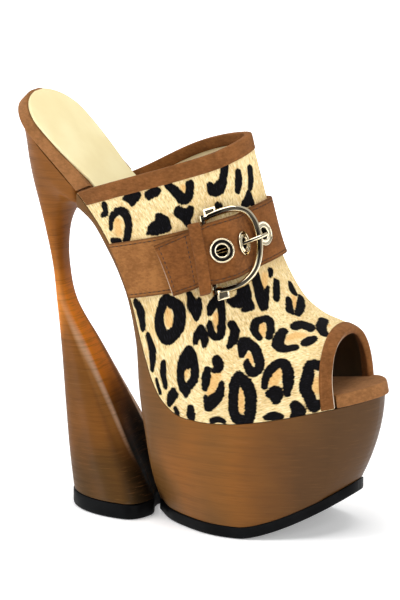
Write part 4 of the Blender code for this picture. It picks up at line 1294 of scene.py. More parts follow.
def stitch_rings(points):
    """Rings of a short round stitch along a few points."""
    points = np.asarray(points, float)
    way = points[-1] - points[0]
    way = way / np.linalg.norm(way)
    side = np.cross(way, STITCH_SIDEWAYS)
    side = side / np.linalg.norm(side)
    cosine, sine = round_turn(STITCH_SIDES)
    spokes = STITCH_RADIUS * (cosine * side + sine * np.cross(way, side))
    return [point + share * spokes for point, share in zip(points, STITCH_ROUND)]


def stitch_row(start, end, place):
    """Stitches between two lengths of a sewn line, which gives a point for a length and a depth."""
    shares = np.linspace(0.0, 1.0, len(STITCH_ROUND))
    depths = SEAM_DEEP + STITCH_DIP * abs(2 * shares - 1) ** 2 - STITCH_PROUD
    stitches = []
    for at in np.arange(start, end - STITCH_LONG, STITCH_EVERY):
        points = [place(at + STITCH_LONG * share, deep) for share, deep in zip(shares, depths)]
        stitches.append(stitch_rings(points))
    return stitches


def make_stitches(thread):
    """Stitches along both edges of the straps, and across the billet behind its tip and before the keeper."""
    start = BILLET["reach"][0]
    inside = STRAP_HALF - SEAM_IN
    stitches = []
    for edge, side in (("near_edge", 1.0), ("far_edge", -1.0)):
        stitches += stitch_row(start + ROW_START, STRAP_END - ROW_START, lambda at, deep: strap_point(
            at, strap_value(BILLET, edge, at) + side * SEAM_IN, billet_top(at) - deep))
        stitches += stitch_row(STRAP_CLEAR + ROW_CLEAR, start + ROW_START, lambda at, deep: strap_point(
            at, side * inside, strap_value(BUCKLE_STRAP, "high", at) - deep))
    for reach in (start + SEAM_IN, KEEPER_START - SEAM_IN):
        ends = [strap_value(BILLET, edge, reach) for edge in ("near_edge", "far_edge")]
        stitches += stitch_row(ends[0] + SEAM_IN, ends[1] - SEAM_IN, lambda at, deep: strap_point(
            reach, at, billet_top(reach) + CROSS_PROUD - deep / 2))
    rings = np.array(stitches)
    count, length, sides = rings.shape[:3]
    faces = []
    for first in range(0, count * length * sides, length * sides):
        for k in range(first, first + (length - 1) * sides, sides):
            for j in range(sides):
                a = k + j
                b = k + (j + 1) % sides
                faces.append((a, b, b + sides, a + sides))
        faces.append(tuple(range(first + sides - 1, first - 1, -1)))
        faces.append(tuple(range(first + (length - 1) * sides, first + length * sides)))
    mesh = bpy.data.meshes.new("strap_stitches")
    mesh.from_pydata((rings.reshape(-1, 3) * MM).tolist(), [], faces)
    piece = bpy.data.objects.new("strap_stitches", mesh)
    bpy.context.scene.collection.objects.link(piece)
    close_up(piece)
    soften(piece, BAND_ANGLE)
    dress(piece, thread, "suede")


KEEPER_BEND = 1.7
KEEPER_SOFT = 0.4
KEEPER_SWELL = 0.1
KEEPER_CORNER = 0.12
KEEPER_STEPS = 7
KEEPER_FEET = 5
KEEPER_WIDE = 14
KEEPER_INSIDE = 1.5


def make_keeper(suede):
    """Loop over both straps with rounded corners, its feet just clear of the upper."""
    half = KEEPER_THICK / 2
    near = -STRAP_HALF - KEEPER_NEAR - half
    far = STRAP_HALF + KEEPER_FAR + half
    width = KEEPER_END - KEEPER_START
    bend = KEEPER_BEND
    corner = [(0.0, half - KEEPER_SOFT), (KEEPER_CORNER, half - KEEPER_CORNER), (KEEPER_SOFT, half)]
    profile = [(0.0, -half)] + corner
    profile += [(width * share, half + KEEPER_SWELL) for share in (0.3, 0.5, 0.7)]
    profile += [(width - along, lift) for along, lift in corner[::-1]] + [(width, -half)]
    corner = list(zip(*quarter_turn(KEEPER_STEPS)))
    flat = np.linspace(near + bend + KEEPER_INSIDE, far - bend - KEEPER_INSIDE, KEEPER_WIDE)
    path = [(near, None, (-1.0, 0.0), share) for share in np.linspace(0.0, 1.0, KEEPER_FEET)]
    path += [(near + bend * slow, bend * fast, (slow - 1.0, 1.0 - fast), 1.0) for slow, fast in corner]
    path += [(across, 0.0, (0.0, 1.0), 1.0) for across in flat]
    path += [(far - bend * slow, bend * fast, (1.0 - slow, 1.0 - fast), 1.0) for slow, fast in corner[::-1]]
    path += [(far, None, (1.0, 0.0), share) for share in np.linspace(1.0, 0.0, KEEPER_FEET)]
    rings = []
    for across, drop, out, share in path:
        ring = []
        for along, lift in profile:
            reach = KEEPER_START + along
            top = billet_top(reach) + GAP + half
            rise = GAP + (top - bend - GAP) * share if drop is None else top - drop
            ring.append(strap_point(reach, across + out[0] * lift, rise + out[1] * lift))
        rings.append(ring)
    dress(loft("keeper_loop", rings, BODY_ANGLE), suede, "suede", "keeper")


# Buckle and eyelets

BOW_POINTS = 110
BOW_SIDES = 24
BAR_POINTS = 40
PRONG_POINTS = 70
WIRE_SIDES = 16
LUG_FACING = 0.9


def wire_points(columns, count):
    """Points along a table of places over the upper, evenly by its rows."""
    rows = [table_row(columns, share) for share in np.linspace(0.0, len(columns["reach"]) - 1, count)]
    return [strap_point(row["reach"], row.get("across", 0.0), row["rise"]) for row in rows]


def make_lug(number, near, far):
    """Square lug at an end of the bar, with eased edges and a sunk face painted dark as a reflection."""
    corners = [(LUG_START, LUG_LOW), (LUG_END, LUG_LOW), (LUG_END, LUG_HIGH), (LUG_START, LUG_HIGH)]
    rings = [[strap_point(BAR_REACH + x, across, rise) for x, rise in corners] for across in (near, far)]
    lug = loft("lug_%d" % number, rings)
    top = np.mean([ring[k] for ring in rings for k in (2, 3)], axis=0)
    bottom = np.mean([ring[k] for ring in rings for k in (0, 1)], axis=0)
    out = Vector((top - bottom) / np.linalg.norm(top - bottom))
    bpy.ops.object.mode_set(mode="EDIT")
    bpy.ops.mesh.select_all(action="SELECT")
    bpy.ops.mesh.bevel(offset=LUG_EASE * MM, segments=3, affect="EDGES")
    bpy.ops.mesh.select_all(action="DESELECT")
    bpy.ops.object.mode_set(mode="OBJECT")
    faces = [face for face in lug.data.polygons if face.normal.dot(out) > LUG_FACING]
    max(faces, key=lambda face: face.area).select = True
    bpy.ops.object.mode_set(mode="EDIT")
    bpy.ops.mesh.select_mode(type="FACE")
    bpy.ops.mesh.inset(thickness=LUG_RIM * MM, depth=0.0)
    bpy.ops.mesh.inset(thickness=LUG_SLOPE * MM, depth=-LUG_SUNK * MM)
    bpy.ops.mesh.select_mode(type="VERT")
    bpy.ops.object.mode_set(mode="OBJECT")
    # The sunk face is painted near black as a dark reflection
    mark(lug, "dish", [LUG_REFLECTION_DARK * vertex.select for vertex in lug.data.vertices])
    return lug


def make_buckle(metal):
    """Frame of the buckle with its bar and lugs, and the prong."""
    bow = wire("bow", wire_points(BOW, BOW_POINTS), BOW_RADIUS, BOW_SIDES)
    along = [strap_point(BAR_REACH, across, BAR_RISE) for across in np.linspace(*BAR_SPAN, BAR_POINTS)]
    bar = wire("bar", along, BAR_RADIUS, WIRE_SIDES)
    tongue = wire("prong_wire", wire_points(PRONG, PRONG_POINTS), PRONG_RADIUS, WIRE_SIDES)
    # The round wires are marked for a painted dark reflection along their middle
    for piece in (bow, bar, tongue):
        mark(piece, "round", np.ones(len(piece.data.vertices)))
    lugs = [make_lug(number, *sides) for number, sides in enumerate(zip(LUGS["near"], LUGS["far"]), 1)]
    frame = join_pieces("buckle_bow", [bow, bar] + lugs)
    soften(frame, EDGE_ANGLE)
    dress(frame, metal, "metal", "buckle_frame")
    dress(tongue, metal, "metal", "prong")


# Turned outline of an eyelet over the strap's top, back to its first point
EYELET_OUTLINE = table("radius height", [
    (3.1, -2.3), (2.7, -2.3), (2.7, -0.5), (2.7, 0.4), (2.76, 0.75), (2.95, 1.02), (3.3, 1.15), (3.6, 1.08),
    (3.85, 0.9), (4.2, 0.8), (4.6, 0.78), (4.9, 0.84), (5.15, 1.0), (5.4, 1.1), (5.62, 1.0), (5.72, 0.8),
    (5.6, 0.64), (3.1, 0.3), (3.1, -2.3),
])
EYELET_SIDES = 64

# Parts of an eyelet painted black: its barrel as painted shade inside the hole, and the first one's dish as a
# painted dark reflection. The first one's barrel is deeper
BARREL = 2.9
BARREL_TOP = 0.5
BARREL_LOW = -1.0
FIRST_DEPTH = -3.2
DISH_START = 3.45
DISH_END = 5.1
DISH_RISE = 0.7


def make_eyelets(metal):
    """Turned eyelets on the billet strap, with painted shade in their barrels and a painted dark reflection
    on the first one's dish.
    """
    turn = 2 * math.pi * np.arange(EYELET_SIDES + 1) / EYELET_SIDES
    radius = EYELET_OUTLINE["radius"]
    for number, reach in enumerate(EYELETS["reach"], 1):
        centre, across, along, out = eyelet_frame(reach)
        height = EYELET_OUTLINE["height"]
        if number == 1:
            height = np.where(height < BARREL_LOW, FIRST_DEPTH, height)
        spokes = np.cos(turn)[:, None] * across + np.sin(turn)[:, None] * along
        points = centre + radius[None, :, None] * spokes[:, None, :] + height[None, :, None] * out
        piece = add_grid("eyelet_ring_%d" % number, points)
        close_up(piece)
        soften(piece, BODY_ANGLE)
        places = vertex_places(piece) - centre
        rise = places @ out
        far = np.linalg.norm(places - rise[:, None] * out, axis=1)
        # Painted shade in the barrel, and on the first eyelet a painted dark reflection on its dish
        black = (far < BARREL) & (rise < BARREL_TOP)
        if number == 1:
            black |= (far > DISH_START) & (far < DISH_END) & (rise > DISH_RISE)
        mark(piece, "dish", black.astype(float))
        dress(piece, metal, "metal", "eyelet_%d" % number)


# Tools for finishes

def put(tree, kind, inputs=None, **settings):
    """Adds a node, sets its options, and links or sets its inputs."""
    made = tree.nodes.new(kind)
    for name, value in settings.items():
        setattr(made, name, value)
    for key, value in (inputs or {}).items():
        if isinstance(value, bpy.types.NodeSocket):
            tree.links.new(value, made.inputs[key])
        else:
            made.inputs[key].default_value = value
    return made


def start_finish(name, **constants):
    """New material with its Principled shader, and constants set on the shader."""
    material = bpy.data.materials.new(name)
    material.use_nodes = True
    tree = material.node_tree
    shader = tree.nodes["Principled BSDF"]
    for key, value in constants.items():
        shader.inputs[key.replace("_", " ")].default_value = value
    return material, tree, shader


def own_place(tree):
    """Object coordinates."""
    return put(tree, "ShaderNodeTexCoord").outputs["Object"]


def stretched(tree, place, scale, turn=(0.0, 0.0, 0.0)):
    """A place with its axes scaled and turned."""
    return put(tree, "ShaderNodeMapping", {"Vector": place, "Scale": scale, "Rotation": turn}).outputs[0]


def noise(tree, place, scale, detail=3.0, roughness=0.55):
    """Cloudy value about one half."""
    values = {"Vector": place, "Scale": scale, "Detail": detail, "Roughness": roughness}
    return put(tree, "ShaderNodeTexNoise", values).outputs[0]


def span(tree, value, low, high, start=0.0, end=1.0):
    """A value eased from start to end while it goes from low to high."""
    values = {"Value": value, "From Min": low, "From Max": high, "To Min": start, "To Max": end}
    return put(tree, "ShaderNodeMapRange", values, interpolation_type="SMOOTHSTEP").outputs[0]


def calc(tree, operation, first, second=0.0):
    """One step of arithmetic."""
    return put(tree, "ShaderNodeMath", {0: first, 1: second}, operation=operation).outputs[0]


def times(tree, first, *others):
    """A value times each of the others."""
    for other in others:
        first = calc(tree, "MULTIPLY", first, other)
    return first


def read_mark(tree, name, output="Fac"):
    """A value that was marked on the piece's vertices."""
    return put(tree, "ShaderNodeAttribute", attribute_name=name).outputs[output]


def tint(tree, share, first, second):
    """Two colours mixed by a share."""
    return put(tree, "ShaderNodeMix", {0: share, 6: first, 7: second}, data_type="RGBA").outputs[2]


def relief(tree, shader, height, strength, distance):
    """Bump on a shader from a height."""
    values = {"Height": height, "Strength": strength, "Distance": distance}
    tree.links.new(put(tree, "ShaderNodeBump", values).outputs[0], shader.inputs["Normal"])


def paint(tree, shader, **outputs):
    """Links values that change over the surface to the shader."""
    for key, value in outputs.items():
        tree.links.new(value, shader.inputs[key.replace("_", " ")])


def colour(red, green, blue):
    """An opaque colour."""
    return (red, green, blue, 1.0)


VECTOR = "NodeSocketVector"
COLOUR = "NodeSocketColor"
VALUE = "NodeSocketFloat"


def start_group(name, inputs, outputs):
    """New shader node group with named sockets, and its ends."""
    tree = bpy.data.node_groups.new(name, "ShaderNodeTree")
    for label, kind in inputs.items():
        tree.interface.new_socket(label, in_out="INPUT", socket_type=kind)
    for label, kind in outputs.items():
        tree.interface.new_socket(label, in_out="OUTPUT", socket_type=kind)
    return tree, tree.nodes.new("NodeGroupInput").outputs, tree.nodes.new("NodeGroupOutput")


def end_group(tree, end, **values):
    """Links values to the outputs of a group."""
    for label, value in values.items():
        tree.links.new(value, end.inputs[label])
    return tree


def use_group(tree, group, **inputs):
    """Places a node group in a finish."""
    return put(tree, "ShaderNodeGroup", inputs, node_tree=group).outputs


# Effects shared by finishes

def suede_nap_group():
    """Nap of brushed leather: cloudy patches, fine fibres and their height."""
    tree, start, end = start_group(
        "suede nap", {"Place": VECTOR, "Light": COLOUR, "Dark": COLOUR},
        {"Colour": COLOUR, "Roughness": VALUE, "Height": VALUE})
    place = start["Place"]
    patches = noise(tree, place, 110.0, 3.0, 0.6)
    fibres = noise(tree, stretched(tree, place, (1.0, 1.0, 0.7)), 1900.0, 3.0, 0.7)
    brushed = noise(tree, stretched(tree, place, (0.8, 0.8, 1.5), (0.0, 0.5, 0.3)), 620.0, 3.0, 0.65)
    share = calc(tree, "ADD", times(tree, patches, 0.45), times(tree, brushed, 0.55))
    shade = tint(tree, span(tree, share, 0.34, 0.66), start["Dark"], start["Light"])
    shade = tint(tree, span(tree, fibres, 0.4, 0.75, 0.0, 0.3), shade, start["Dark"])
    rough = span(tree, fibres, 0.3, 0.7, 0.82, 1.0)
    height = calc(tree, "ADD", times(tree, fibres, 0.7), times(tree, brushed, 0.5))
    return end_group(tree, end, Colour=shade, Roughness=rough, Height=height)


def wood_grain_group():
    """Long streaks and short dark pores of stained wood, running along the place's first axis."""
    tree, start, end = start_group(
        "wood grain", {"Place": VECTOR}, {"Streaks": VALUE, "Lines": VALUE, "Clouds": VALUE})
    place = start["Place"]
    streaks = noise(tree, stretched(tree, place, (24.0, 40.0, 620.0)), 1.0, 4.0, 0.6)
    lines = noise(tree, stretched(tree, place, (85.0, 110.0, 2100.0)), 1.0, 3.0, 0.65)
    clouds = noise(tree, stretched(tree, place, (30.0, 30.0, 24.0)), 1.0, 2.0, 0.5)
    return end_group(tree, end, Streaks=streaks, Lines=lines, Clouds=clouds)


def fine_grain_group():
    """Fine grain of smooth leather: soft patches and small pebbles."""
    tree, start, end = start_group(
        "fine leather grain", {"Place": VECTOR}, {"Patches": VALUE, "Pebbles": VALUE})
    place = start["Place"]
    cells = put(tree, "ShaderNodeTexVoronoi", {"Vector": place, "Scale": 1400.0})
    return end_group(tree, end, Patches=noise(tree, place, 45.0), Pebbles=cells.outputs["Distance"])


# Finishes

def pelt_finish():
    """Short pony hair with a printed leopard pattern, and a painted sheen on its black spots."""
    material, tree, shader = start_finish("leopard pelt", Specular_IOR_Level=0.05)
    nap = read_mark(tree, "nap", "Vector")
    strands = noise(tree, stretched(tree, nap, (2.4, 0.5, 1.0)), 1.0, 3.0, 0.65)
    locks = noise(tree, stretched(tree, nap, (0.6, 0.25, 1.0)), 1.0, 2.0, 0.5)
    flecks = noise(tree, stretched(tree, nap, (0.95, 0.42, 1.0)), 1.0, 2.0, 0.6)
    patches = noise(tree, nap, 0.07, 2.0, 0.5)
    ragged = times(tree, calc(tree, "SUBTRACT", strands, 0.5), 1.2)
    ragged = calc(tree, "ADD", ragged, times(tree, calc(tree, "SUBTRACT", locks, 0.5), 1.6))
    # Print spots, and the painted shade under the first eyelet's hole
    dark = span(tree, calc(tree, "ADD", read_mark(tree, "spots_and_hole_shade"), ragged), 0.3, -0.3)
    tan = span(tree, calc(tree, "ADD", read_mark(tree, "heart"), ragged), 0.9, -0.9)
    pale = colour(0.98, 0.92, 0.70)
    ground = tint(tree, span(tree, patches, 0.35, 0.65), colour(0.76, 0.56, 0.26), colour(0.85, 0.68, 0.35))
    ground = tint(tree, span(tree, locks, 0.5, 0.7, 0.0, 0.6), ground, colour(0.66, 0.45, 0.19))
    ground = tint(tree, span(tree, strands, 0.52, 0.66, 0.0, 0.8), ground, colour(0.44, 0.27, 0.10))
    ground = tint(tree, span(tree, strands, 0.46, 0.28, 0.0, 0.7), ground, pale)
    ground = tint(tree, span(tree, flecks, 0.54, 0.68, 0.0, 0.6), ground, colour(0.46, 0.29, 0.11))
    ground = tint(tree, span(tree, flecks, 0.46, 0.32, 0.0, 0.4), ground, pale)
    inside = tint(tree, span(tree, strands, 0.3, 0.7), colour(0.86, 0.58, 0.25), colour(0.58, 0.30, 0.08))
    # Painted sheen: the black hair turns a little slate grey along its strands
    painted_hair_sheen = span(tree, strands, 0.5, 0.74)
    black = tint(tree, painted_hair_sheen, colour(0.002, 0.0018, 0.002), colour(0.016, 0.015, 0.021))
    shade = tint(tree, dark, tint(tree, tan, ground, inside), black)
    paint(tree, shader, Base_Color=shade, Roughness=span(tree, strands, 0.3, 0.7, 0.5, 0.72))
    relief(tree, shader, calc(tree, "ADD", strands, times(tree, locks, 0.8)), 0.5, 0.0004)
    return material


def suede_finish(name, group, light, dark):
    """Brushed suede, with painted shade at marked strap edges and sewn lines and darker at the footbed's
    marked rim, pale at marked raw edges and painted highlights.
    """
    material, tree, shader = start_finish(
        name, Sheen_Weight=0.08, Sheen_Roughness=0.6, Sheen_Tint=colour(0.8, 0.6, 0.42),
        Specular_IOR_Level=0.1)
    nap = use_group(tree, group, Place=own_place(tree), Light=light, Dark=dark)
    # Painted shade along the straps' marked edges and sewn lines; the footbed's marked rim darkens the same
    # way
    shade = tint(tree, times(tree, read_mark(tree, "edge"), 0.6), nap["Colour"], colour(0.040, 0.016, 0.005))
    # Pale at a marked raw edge, and as a painted highlight
    shade = tint(tree, read_mark(tree, "raw_edge_and_highlight"), shade, colour(0.86, 0.76, 0.60))
    paint(tree, shader, Base_Color=shade, Roughness=nap["Roughness"])
    relief(tree, shader, nap["Height"], 0.35, 0.0003)
    return material


def grain_marks(tree, grain, shade, marks):
    """Shade with marks of the grain over it, each with its output, limits, strength and colour."""
    for name, low, high, most, ink in marks:
        shade = tint(tree, span(tree, grain[name], low, high, 0.0, most), shade, colour(*ink))
    return shade


def heel_wood_finish(group):
    """Stained heel: orange at its neck and darker to its base, with painted light on its front face, painted
    shade near black low at its front, and a painted highlight along its ridges.
    """
    material, tree, shader = start_finish("heel wood", Coat_Roughness=0.22, Specular_IOR_Level=0.01)
    place = own_place(tree)
    grain = use_group(tree, group, Place=stretched(tree, place, (1.0, 1.0, 1.0), (0.0, 0.06, 0.0)))
    axes = put(tree, "ShaderNodeSeparateXYZ", {0: place}).outputs
    height = axes["Z"]
    cloud = span(tree, grain["Clouds"], 0.3, 0.7)
    warm = tint(tree, cloud, colour(0.28, 0.092, 0.015), colour(0.38, 0.128, 0.021))
    brown = tint(tree, cloud, colour(0.130, 0.054, 0.013), colour(0.205, 0.076, 0.016))
    rise = calc(tree, "ADD", height, times(tree, calc(tree, "SUBTRACT", grain["Clouds"], 0.5), 0.05))
    shade = tint(tree, span(tree, rise, 0.115, 0.062), warm, brown)
    shade = tint(tree, span(tree, rise, 0.118, 0.150), shade, tint(tree, 0.35, brown, warm))
    shade = tint(tree, span(tree, rise, 0.048, 0.002, 0.0, 0.85), shade, colour(0.055, 0.034, 0.013))

    # Front face, split by a line that comes in from the corner as it goes up. It carries painted light,
    # painted shade and a painted highlight.
    ahead = calc(tree, "ADD", axes["X"], times(tree, height, 0.56))
    across = calc(tree, "ABSOLUTE", axes["Y"])
    line = calc(tree, "ADD", across, times(tree, height, 0.0925))
    face = span(tree, ahead, -0.0515, -0.0485)
    # Painted light: the strip of the front face between the corner and the line is painted a lighter brown,
    # as it gets little light
    strip = times(tree, face, span(tree, line, 0.0146, 0.0170), span(tree, height, 0.022, 0.040, 0.0, 0.9),
                  span(tree, height, 0.095, 0.075))
    shade = tint(tree, strip, shade, colour(0.37, 0.155, 0.038))
    # Painted light: the front face inside the line glows orange at middle heights
    inner = times(tree, span(tree, across, 0.009, 0.004), span(tree, ahead, -0.061, -0.055))
    front = calc(tree, "MAXIMUM", times(tree, face, span(tree, line, 0.0170, 0.0140)), inner)
    bend = times(tree, span(tree, height, 0.040, 0.075), span(tree, height, 0.118, 0.092))
    glow = times(tree, bend, front, span(tree, axes["Y"], 0.0065, 0.002, 0.35, 1.0))
    shade = tint(tree, glow, shade, colour(0.95, 0.30, 0.030))
    # Painted shade: near black low on the front face and at the front of the foot
    foot = times(tree, span(tree, height, 0.042, 0.015), span(tree, ahead, -0.0560, -0.0455))
    painted_front_shade = calc(tree, "MAXIMUM", times(tree, span(tree, rise, 0.062, 0.030), front), foot)
    shade = tint(tree, painted_front_shade, shade, colour(0.005, 0.004, 0.003))
    # Painted highlight: a pale line along the ridge between the side and the front face
    ridge = calc(tree, "ABSOLUTE", calc(tree, "SUBTRACT", line, 0.01565))
    painted_ridge_highlight = times(tree, span(tree, ridge, 0.0024, 0.0002), span(tree, height, 0.022, 0.046, 0.0, 0.75), face,
                 span(tree, height, 0.108, 0.060))
    shade = tint(tree, painted_ridge_highlight, shade, colour(0.88, 0.60, 0.40))

    shade = grain_marks(tree, grain, shade, [
        ("Streaks", 0.45, 0.68, 0.3, (0.06, 0.028, 0.009)),
        ("Lines", 0.52, 0.72, 0.3, (0.04, 0.021, 0.009)),
        ("Lines", 0.45, 0.28, 0.12, (0.5, 0.22, 0.07))])
    # No coat where the shade is painted, nor low on the front face, so these stay dark
    dull = calc(tree, "MAXIMUM", painted_front_shade, times(tree, front, span(tree, height, 0.075, 0.050)))
    rough = span(tree, grain["Streaks"], 0.3, 0.7, 0.34, 0.5)
    paint(tree, shader, Base_Color=shade, Roughness=rough, Coat_Weight=span(tree, dull, 0.0, 1.0, 0.12, 0.0))
    relief(tree, shader, grain["Lines"], 0.06, 0.0002)
    return material


def platform_wood_finish(group):
    """Stained platform: warm in the middle, darker to the toe, towards its bottom and towards its back."""
    material, tree, shader = start_finish(
        "platform wood", Coat_Weight=0.05, Coat_Roughness=0.3, Specular_IOR_Level=0.12)
    place = own_place(tree)
    grain = use_group(tree, group, Place=place)
    axes = put(tree, "ShaderNodeSeparateXYZ", {0: place}).outputs
    drift = times(tree, calc(tree, "SUBTRACT", grain["Clouds"], 0.5), 0.05)
    along = calc(tree, "ADD", axes["X"], drift)
    cloud = span(tree, grain["Clouds"], 0.3, 0.7)
    shade = tint(tree, cloud, colour(0.19, 0.076, 0.014), colour(0.25, 0.088, 0.012))
    shade = tint(tree, span(tree, along, -0.005, 0.042, 0.0, 0.92), shade, colour(0.070, 0.033, 0.011))
    low = span(tree, calc(tree, "ADD", axes["Z"], drift), 0.016, -0.004, 0.0, 0.45)
    back = span(tree, along, -0.022, -0.05, 0.0, 0.75)
    shade = tint(tree, calc(tree, "MAXIMUM", low, back), shade, colour(0.115, 0.055, 0.016))
    shade = grain_marks(tree, grain, shade, [
        ("Streaks", 0.45, 0.7, 0.25, (0.08, 0.036, 0.011)),
        ("Lines", 0.52, 0.74, 0.25, (0.04, 0.022, 0.009)),
        ("Lines", 0.45, 0.28, 0.08, (0.42, 0.20, 0.07))])
    paint(tree, shader, Base_Color=shade, Roughness=span(tree, grain["Streaks"], 0.3, 0.7, 0.4, 0.52))
    relief(tree, shader, grain["Lines"], 0.06, 0.0002)
    return material


def rubber_finish():
    """Black rubber with a faint bloom."""
    material, tree, shader = start_finish("black rubber", Specular_IOR_Level=0.05)
    place = own_place(tree)
    bloom = noise(tree, place, 60.0)
    share = span(tree, bloom, 0.35, 0.65)
    shade = tint(tree, share, colour(0.0025, 0.0027, 0.003), colour(0.006, 0.0063, 0.007))
    paint(tree, shader, Base_Color=shade, Roughness=span(tree, bloom, 0.3, 0.7, 0.42, 0.6))
    relief(tree, shader, noise(tree, place, 2200.0, 2.0), 0.15, 0.0002)
    return material


def sock_finish(group):
    """Smooth cream leather with a fine grain."""
    material, tree, shader = start_finish("cream sock")
    grain = use_group(tree, group, Place=own_place(tree))
    dark = colour(0.78, 0.66, 0.35)
    shade = tint(tree, span(tree, grain["Patches"], 0.3, 0.7), dark, colour(0.84, 0.74, 0.43))
    shade = tint(tree, span(tree, grain["Pebbles"], 0.25, 0.0, 0.0, 0.2), shade, dark)
    paint(tree, shader, Base_Color=shade, Roughness=span(tree, grain["Patches"], 0.3, 0.7, 0.42, 0.54))
    relief(tree, shader, grain["Pebbles"], 0.12, 0.0002)
    return material


def lining_finish(group):
    """Lining leather, cream at the collar, with painted shade turning it dark brown deeper inside towards the
    toe.
    """
    material, tree, shader = start_finish("lining leather")
    grain = use_group(tree, group, Place=own_place(tree))
    patches = span(tree, grain["Patches"], 0.3, 0.7)
    cream = tint(tree, patches, colour(0.80, 0.68, 0.46), colour(0.88, 0.77, 0.55))
    brown = tint(tree, patches, colour(0.055, 0.030, 0.014), colour(0.085, 0.045, 0.02))
    # Painted shade: darker brown deeper inside the upper
    shade = tint(tree, span(tree, read_mark(tree, "deep"), 0.22, 0.5), cream, brown)
    paint(tree, shader, Base_Color=shade, Roughness=span(tree, grain["Patches"], 0.3, 0.7, 0.55, 0.7))
    relief(tree, shader, grain["Pebbles"], 0.12, 0.0002)
    return material


def metal_finish():
    """Polished pale gold, with painted dark reflections along the middle of round wires and on marked lug
    faces and the first eyelet's dish, and painted shade in the eyelets' barrels.
    """
    material, tree, shader = start_finish("pale gold", Specular_IOR_Level=0.1)
    haze = noise(tree, own_place(tree), 160.0)
    dish = read_mark(tree, "dish")
    facing = put(tree, "ShaderNodeLayerWeight", {"Blend": 0.5}).outputs["Facing"]
    # Painted reflection: round wires turn near black along their middle, where they face the viewer
    painted_wire_reflection = times(tree, read_mark(tree, "round"), span(tree, facing, 0.26, 0.10, 0.0, 0.98))
    gold = tint(tree, span(tree, haze, 0.35, 0.65), colour(0.88, 0.75, 0.50), colour(0.95, 0.85, 0.62))
    gold = tint(tree, painted_wire_reflection, gold, colour(0.012, 0.010, 0.008))
    # Marked places are painted near black and not metallic: dark reflections on the lug faces and first dish,
    # shade in the barrels
    shade = tint(tree, dish, gold, colour(0.004, 0.0035, 0.003))
    rough = tint(tree, dish, span(tree, haze, 0.3, 0.7, 0.07, 0.15), colour(0.8, 0.8, 0.8))
    paint(tree, shader, Base_Color=shade, Metallic=calc(tree, "SUBTRACT", 1.0, dish), Roughness=rough)
    return material


def thread_finish():
    """Waxed brown thread."""
    material, tree, shader = start_finish("brown thread")
    twist = noise(tree, own_place(tree), 3000.0, 2.0)
    shade = tint(tree, span(tree, twist, 0.3, 0.7), colour(0.022, 0.010, 0.004), colour(0.055, 0.025, 0.010))
    paint(tree, shader, Base_Color=shade, Roughness=span(tree, twist, 0.3, 0.7, 0.6, 0.8))
    relief(tree, shader, twist, 0.2, 0.0001)
    return material


# Studio

AIM = (-30.0, 0.0, 95.0)
AZIMUTH = 24.6
ELEVATION = 12.8
DISTANCE = 1800.0
AIM_LEFT = 3.64
AIM_UP = 7.0
LENS = 231.1
SENSOR = 36.0
CLIP = (0.05, 30.0)
LIGHT_AIM = (-0.03, 0.0, 0.09)
FLOOR_SIZE = 12.0
FLOOR_DROP = 0.0002
ROOM_STRENGTH = 0.5

# Name, place, size and power of each light
SOFTBOXES = [
    ("top light", (-0.1, -0.15, 1.3), (1.4, 1.4), 17.0),
    ("left light", (-1.1, -0.7, 0.55), (0.5, 1.1), 6.0),
    ("right light", (1.1, -0.55, 0.6), (0.7, 1.0), 8.0),
    ("front strip", (0.29, -1.38, 0.6), (0.12, 0.5), 1.5),
]


def view_axes():
    """Directions to the camera, to its right and up."""
    azimuth = math.radians(AZIMUTH)
    elevation = math.radians(ELEVATION)
    level = np.array([math.sin(azimuth), -math.cos(azimuth), 0.0])
    back = level * math.cos(elevation) + np.array([0.0, 0.0, math.sin(elevation)])
    right = np.array([math.cos(azimuth), math.sin(azimuth), 0.0])
    return back, right, np.cross(back, right)


def stand(name, data, place, aim):
    """Puts a camera or a light at a place, facing an aim."""
    made = bpy.data.objects.new(name, data)
    bpy.context.scene.collection.objects.link(made)
    made.location = place
    made.rotation_euler = (Vector(aim) - Vector(place)).to_track_quat("-Z", "Y").to_euler()
    return made


def place_camera():
    """Camera at the photograph's angle."""
    back, right, up = view_axes()
    eye = np.array(AIM) + back * DISTANCE
    aim = np.array(AIM) - right * AIM_LEFT + up * AIM_UP
    data = bpy.data.cameras.new("camera")
    data.lens = LENS
    data.sensor_width = SENSOR
    data.clip_start, data.clip_end = CLIP
    bpy.context.scene.camera = stand("camera", data, eye * MM, aim * MM)


def add_softbox(name, place, size, power):
    """Rectangular area light that faces the clog."""
    data = bpy.data.lights.new(name, "AREA")
    data.shape = "RECTANGLE"
    data.size, data.size_y = size
    data.energy = power
    stand(name, data, place, LIGHT_AIM)


def make_room():
    """Pale room that is dim behind the camera, so that polished metal has something dark to mirror."""
    back, _, _ = view_axes()
    world = bpy.data.worlds.new("room")
    bpy.context.scene.world = world
    world.use_nodes = True
    tree = world.node_tree
    way = put(tree, "ShaderNodeTexCoord").outputs["Generated"]
    towards = put(tree, "ShaderNodeVectorMath", {0: way, 1: tuple(back)}, operation="DOT_PRODUCT")
    facing = towards.outputs["Value"]
    shade = tint(tree, span(tree, facing, 0.05, 0.6), colour(1.0, 1.0, 1.0), colour(0.04, 0.04, 0.04))
    tree.links.new(shade, tree.nodes["Background"].inputs["Color"])
    tree.nodes["Background"].inputs["Strength"].default_value = ROOM_STRENGTH


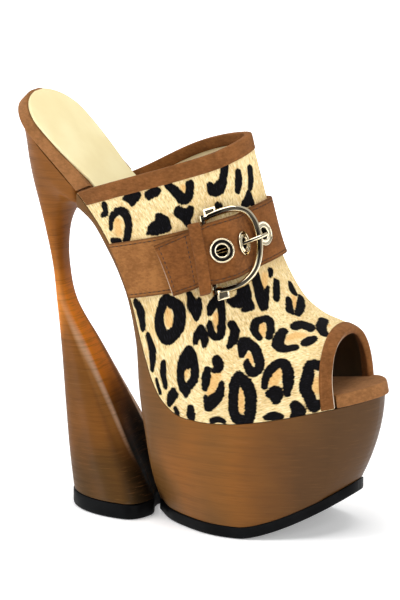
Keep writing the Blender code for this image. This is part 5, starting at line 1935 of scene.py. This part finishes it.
def make_floor():
    """White paper, glowing more beyond the clog so that it stays white to the edges of the picture."""
    bpy.ops.object.select_all(action="DESELECT")
    bpy.ops.mesh.primitive_plane_add(size=FLOOR_SIZE, location=(0.0, 0.0, -FLOOR_DROP))
    floor = bpy.context.active_object
    floor.name = "floor"
    material, tree, shader = start_finish(
        "floor paper", Roughness=0.6, Emission_Strength=1.0, Specular_IOR_Level=0.1)
    place = own_place(tree)
    shade = tint(tree, noise(tree, place, 2.0, 1.0), colour(0.93, 0.93, 0.93), colour(0.95, 0.95, 0.95))
    far = put(tree, "ShaderNodeVectorMath", {0: place}, operation="LENGTH").outputs["Value"]
    glow = tint(tree, span(tree, far, 0.18, 0.7), colour(0.28, 0.28, 0.28), colour(0.95, 0.95, 0.95))
    paint(tree, shader, Base_Color=shade, Emission_Color=glow)
    floor.data.materials.append(material)


def make_studio():
    """Pale floor, soft lights and a pale room."""
    make_floor()
    for softbox in SOFTBOXES:
        add_softbox(*softbox)
    make_room()
    bpy.context.scene.view_settings.view_transform = "Standard"


def main():
    """Loads the solids, dresses them and sets the studio up."""
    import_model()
    nap = suede_nap_group()
    grain = wood_grain_group()
    fine = fine_grain_group()
    strap_suede = suede_finish("strap suede", nap, colour(0.34, 0.145, 0.044), colour(0.20, 0.078, 0.022))
    billet_suede = suede_finish("billet suede", nap, colour(0.24, 0.086, 0.022), colour(0.125, 0.044, 0.011))
    binding_suede = suede_finish("binding suede", nap, colour(0.25, 0.096, 0.028), colour(0.14, 0.052, 0.014))
    bed_suede = suede_finish("footbed suede", nap, colour(0.32, 0.14, 0.050), colour(0.20, 0.085, 0.028))
    rubber = rubber_finish()
    metal = metal_finish()
    make_heel(heel_wood_finish(grain), rubber)
    make_platform(platform_wood_finish(grain))
    make_outsole(rubber)
    make_footbed(bed_suede, sock_finish(fine))
    make_upper(pelt_finish(), lining_finish(fine))
    make_binding("collar_band", "collar_binding", collar_row, 1.0, COLLAR_WIDTH, binding_suede)
    make_binding("toe_band", "toe_binding", toe_row, -1.0, TOE_WIDTH, binding_suede, TOE_HIGHLIGHT)
    make_buckle_strap(strap_suede)
    make_billet_strap(billet_suede)
    make_stitches(thread_finish())
    make_keeper(billet_suede)
    make_buckle(metal)
    make_eyelets(metal)
    place_camera()
    make_studio()


main()
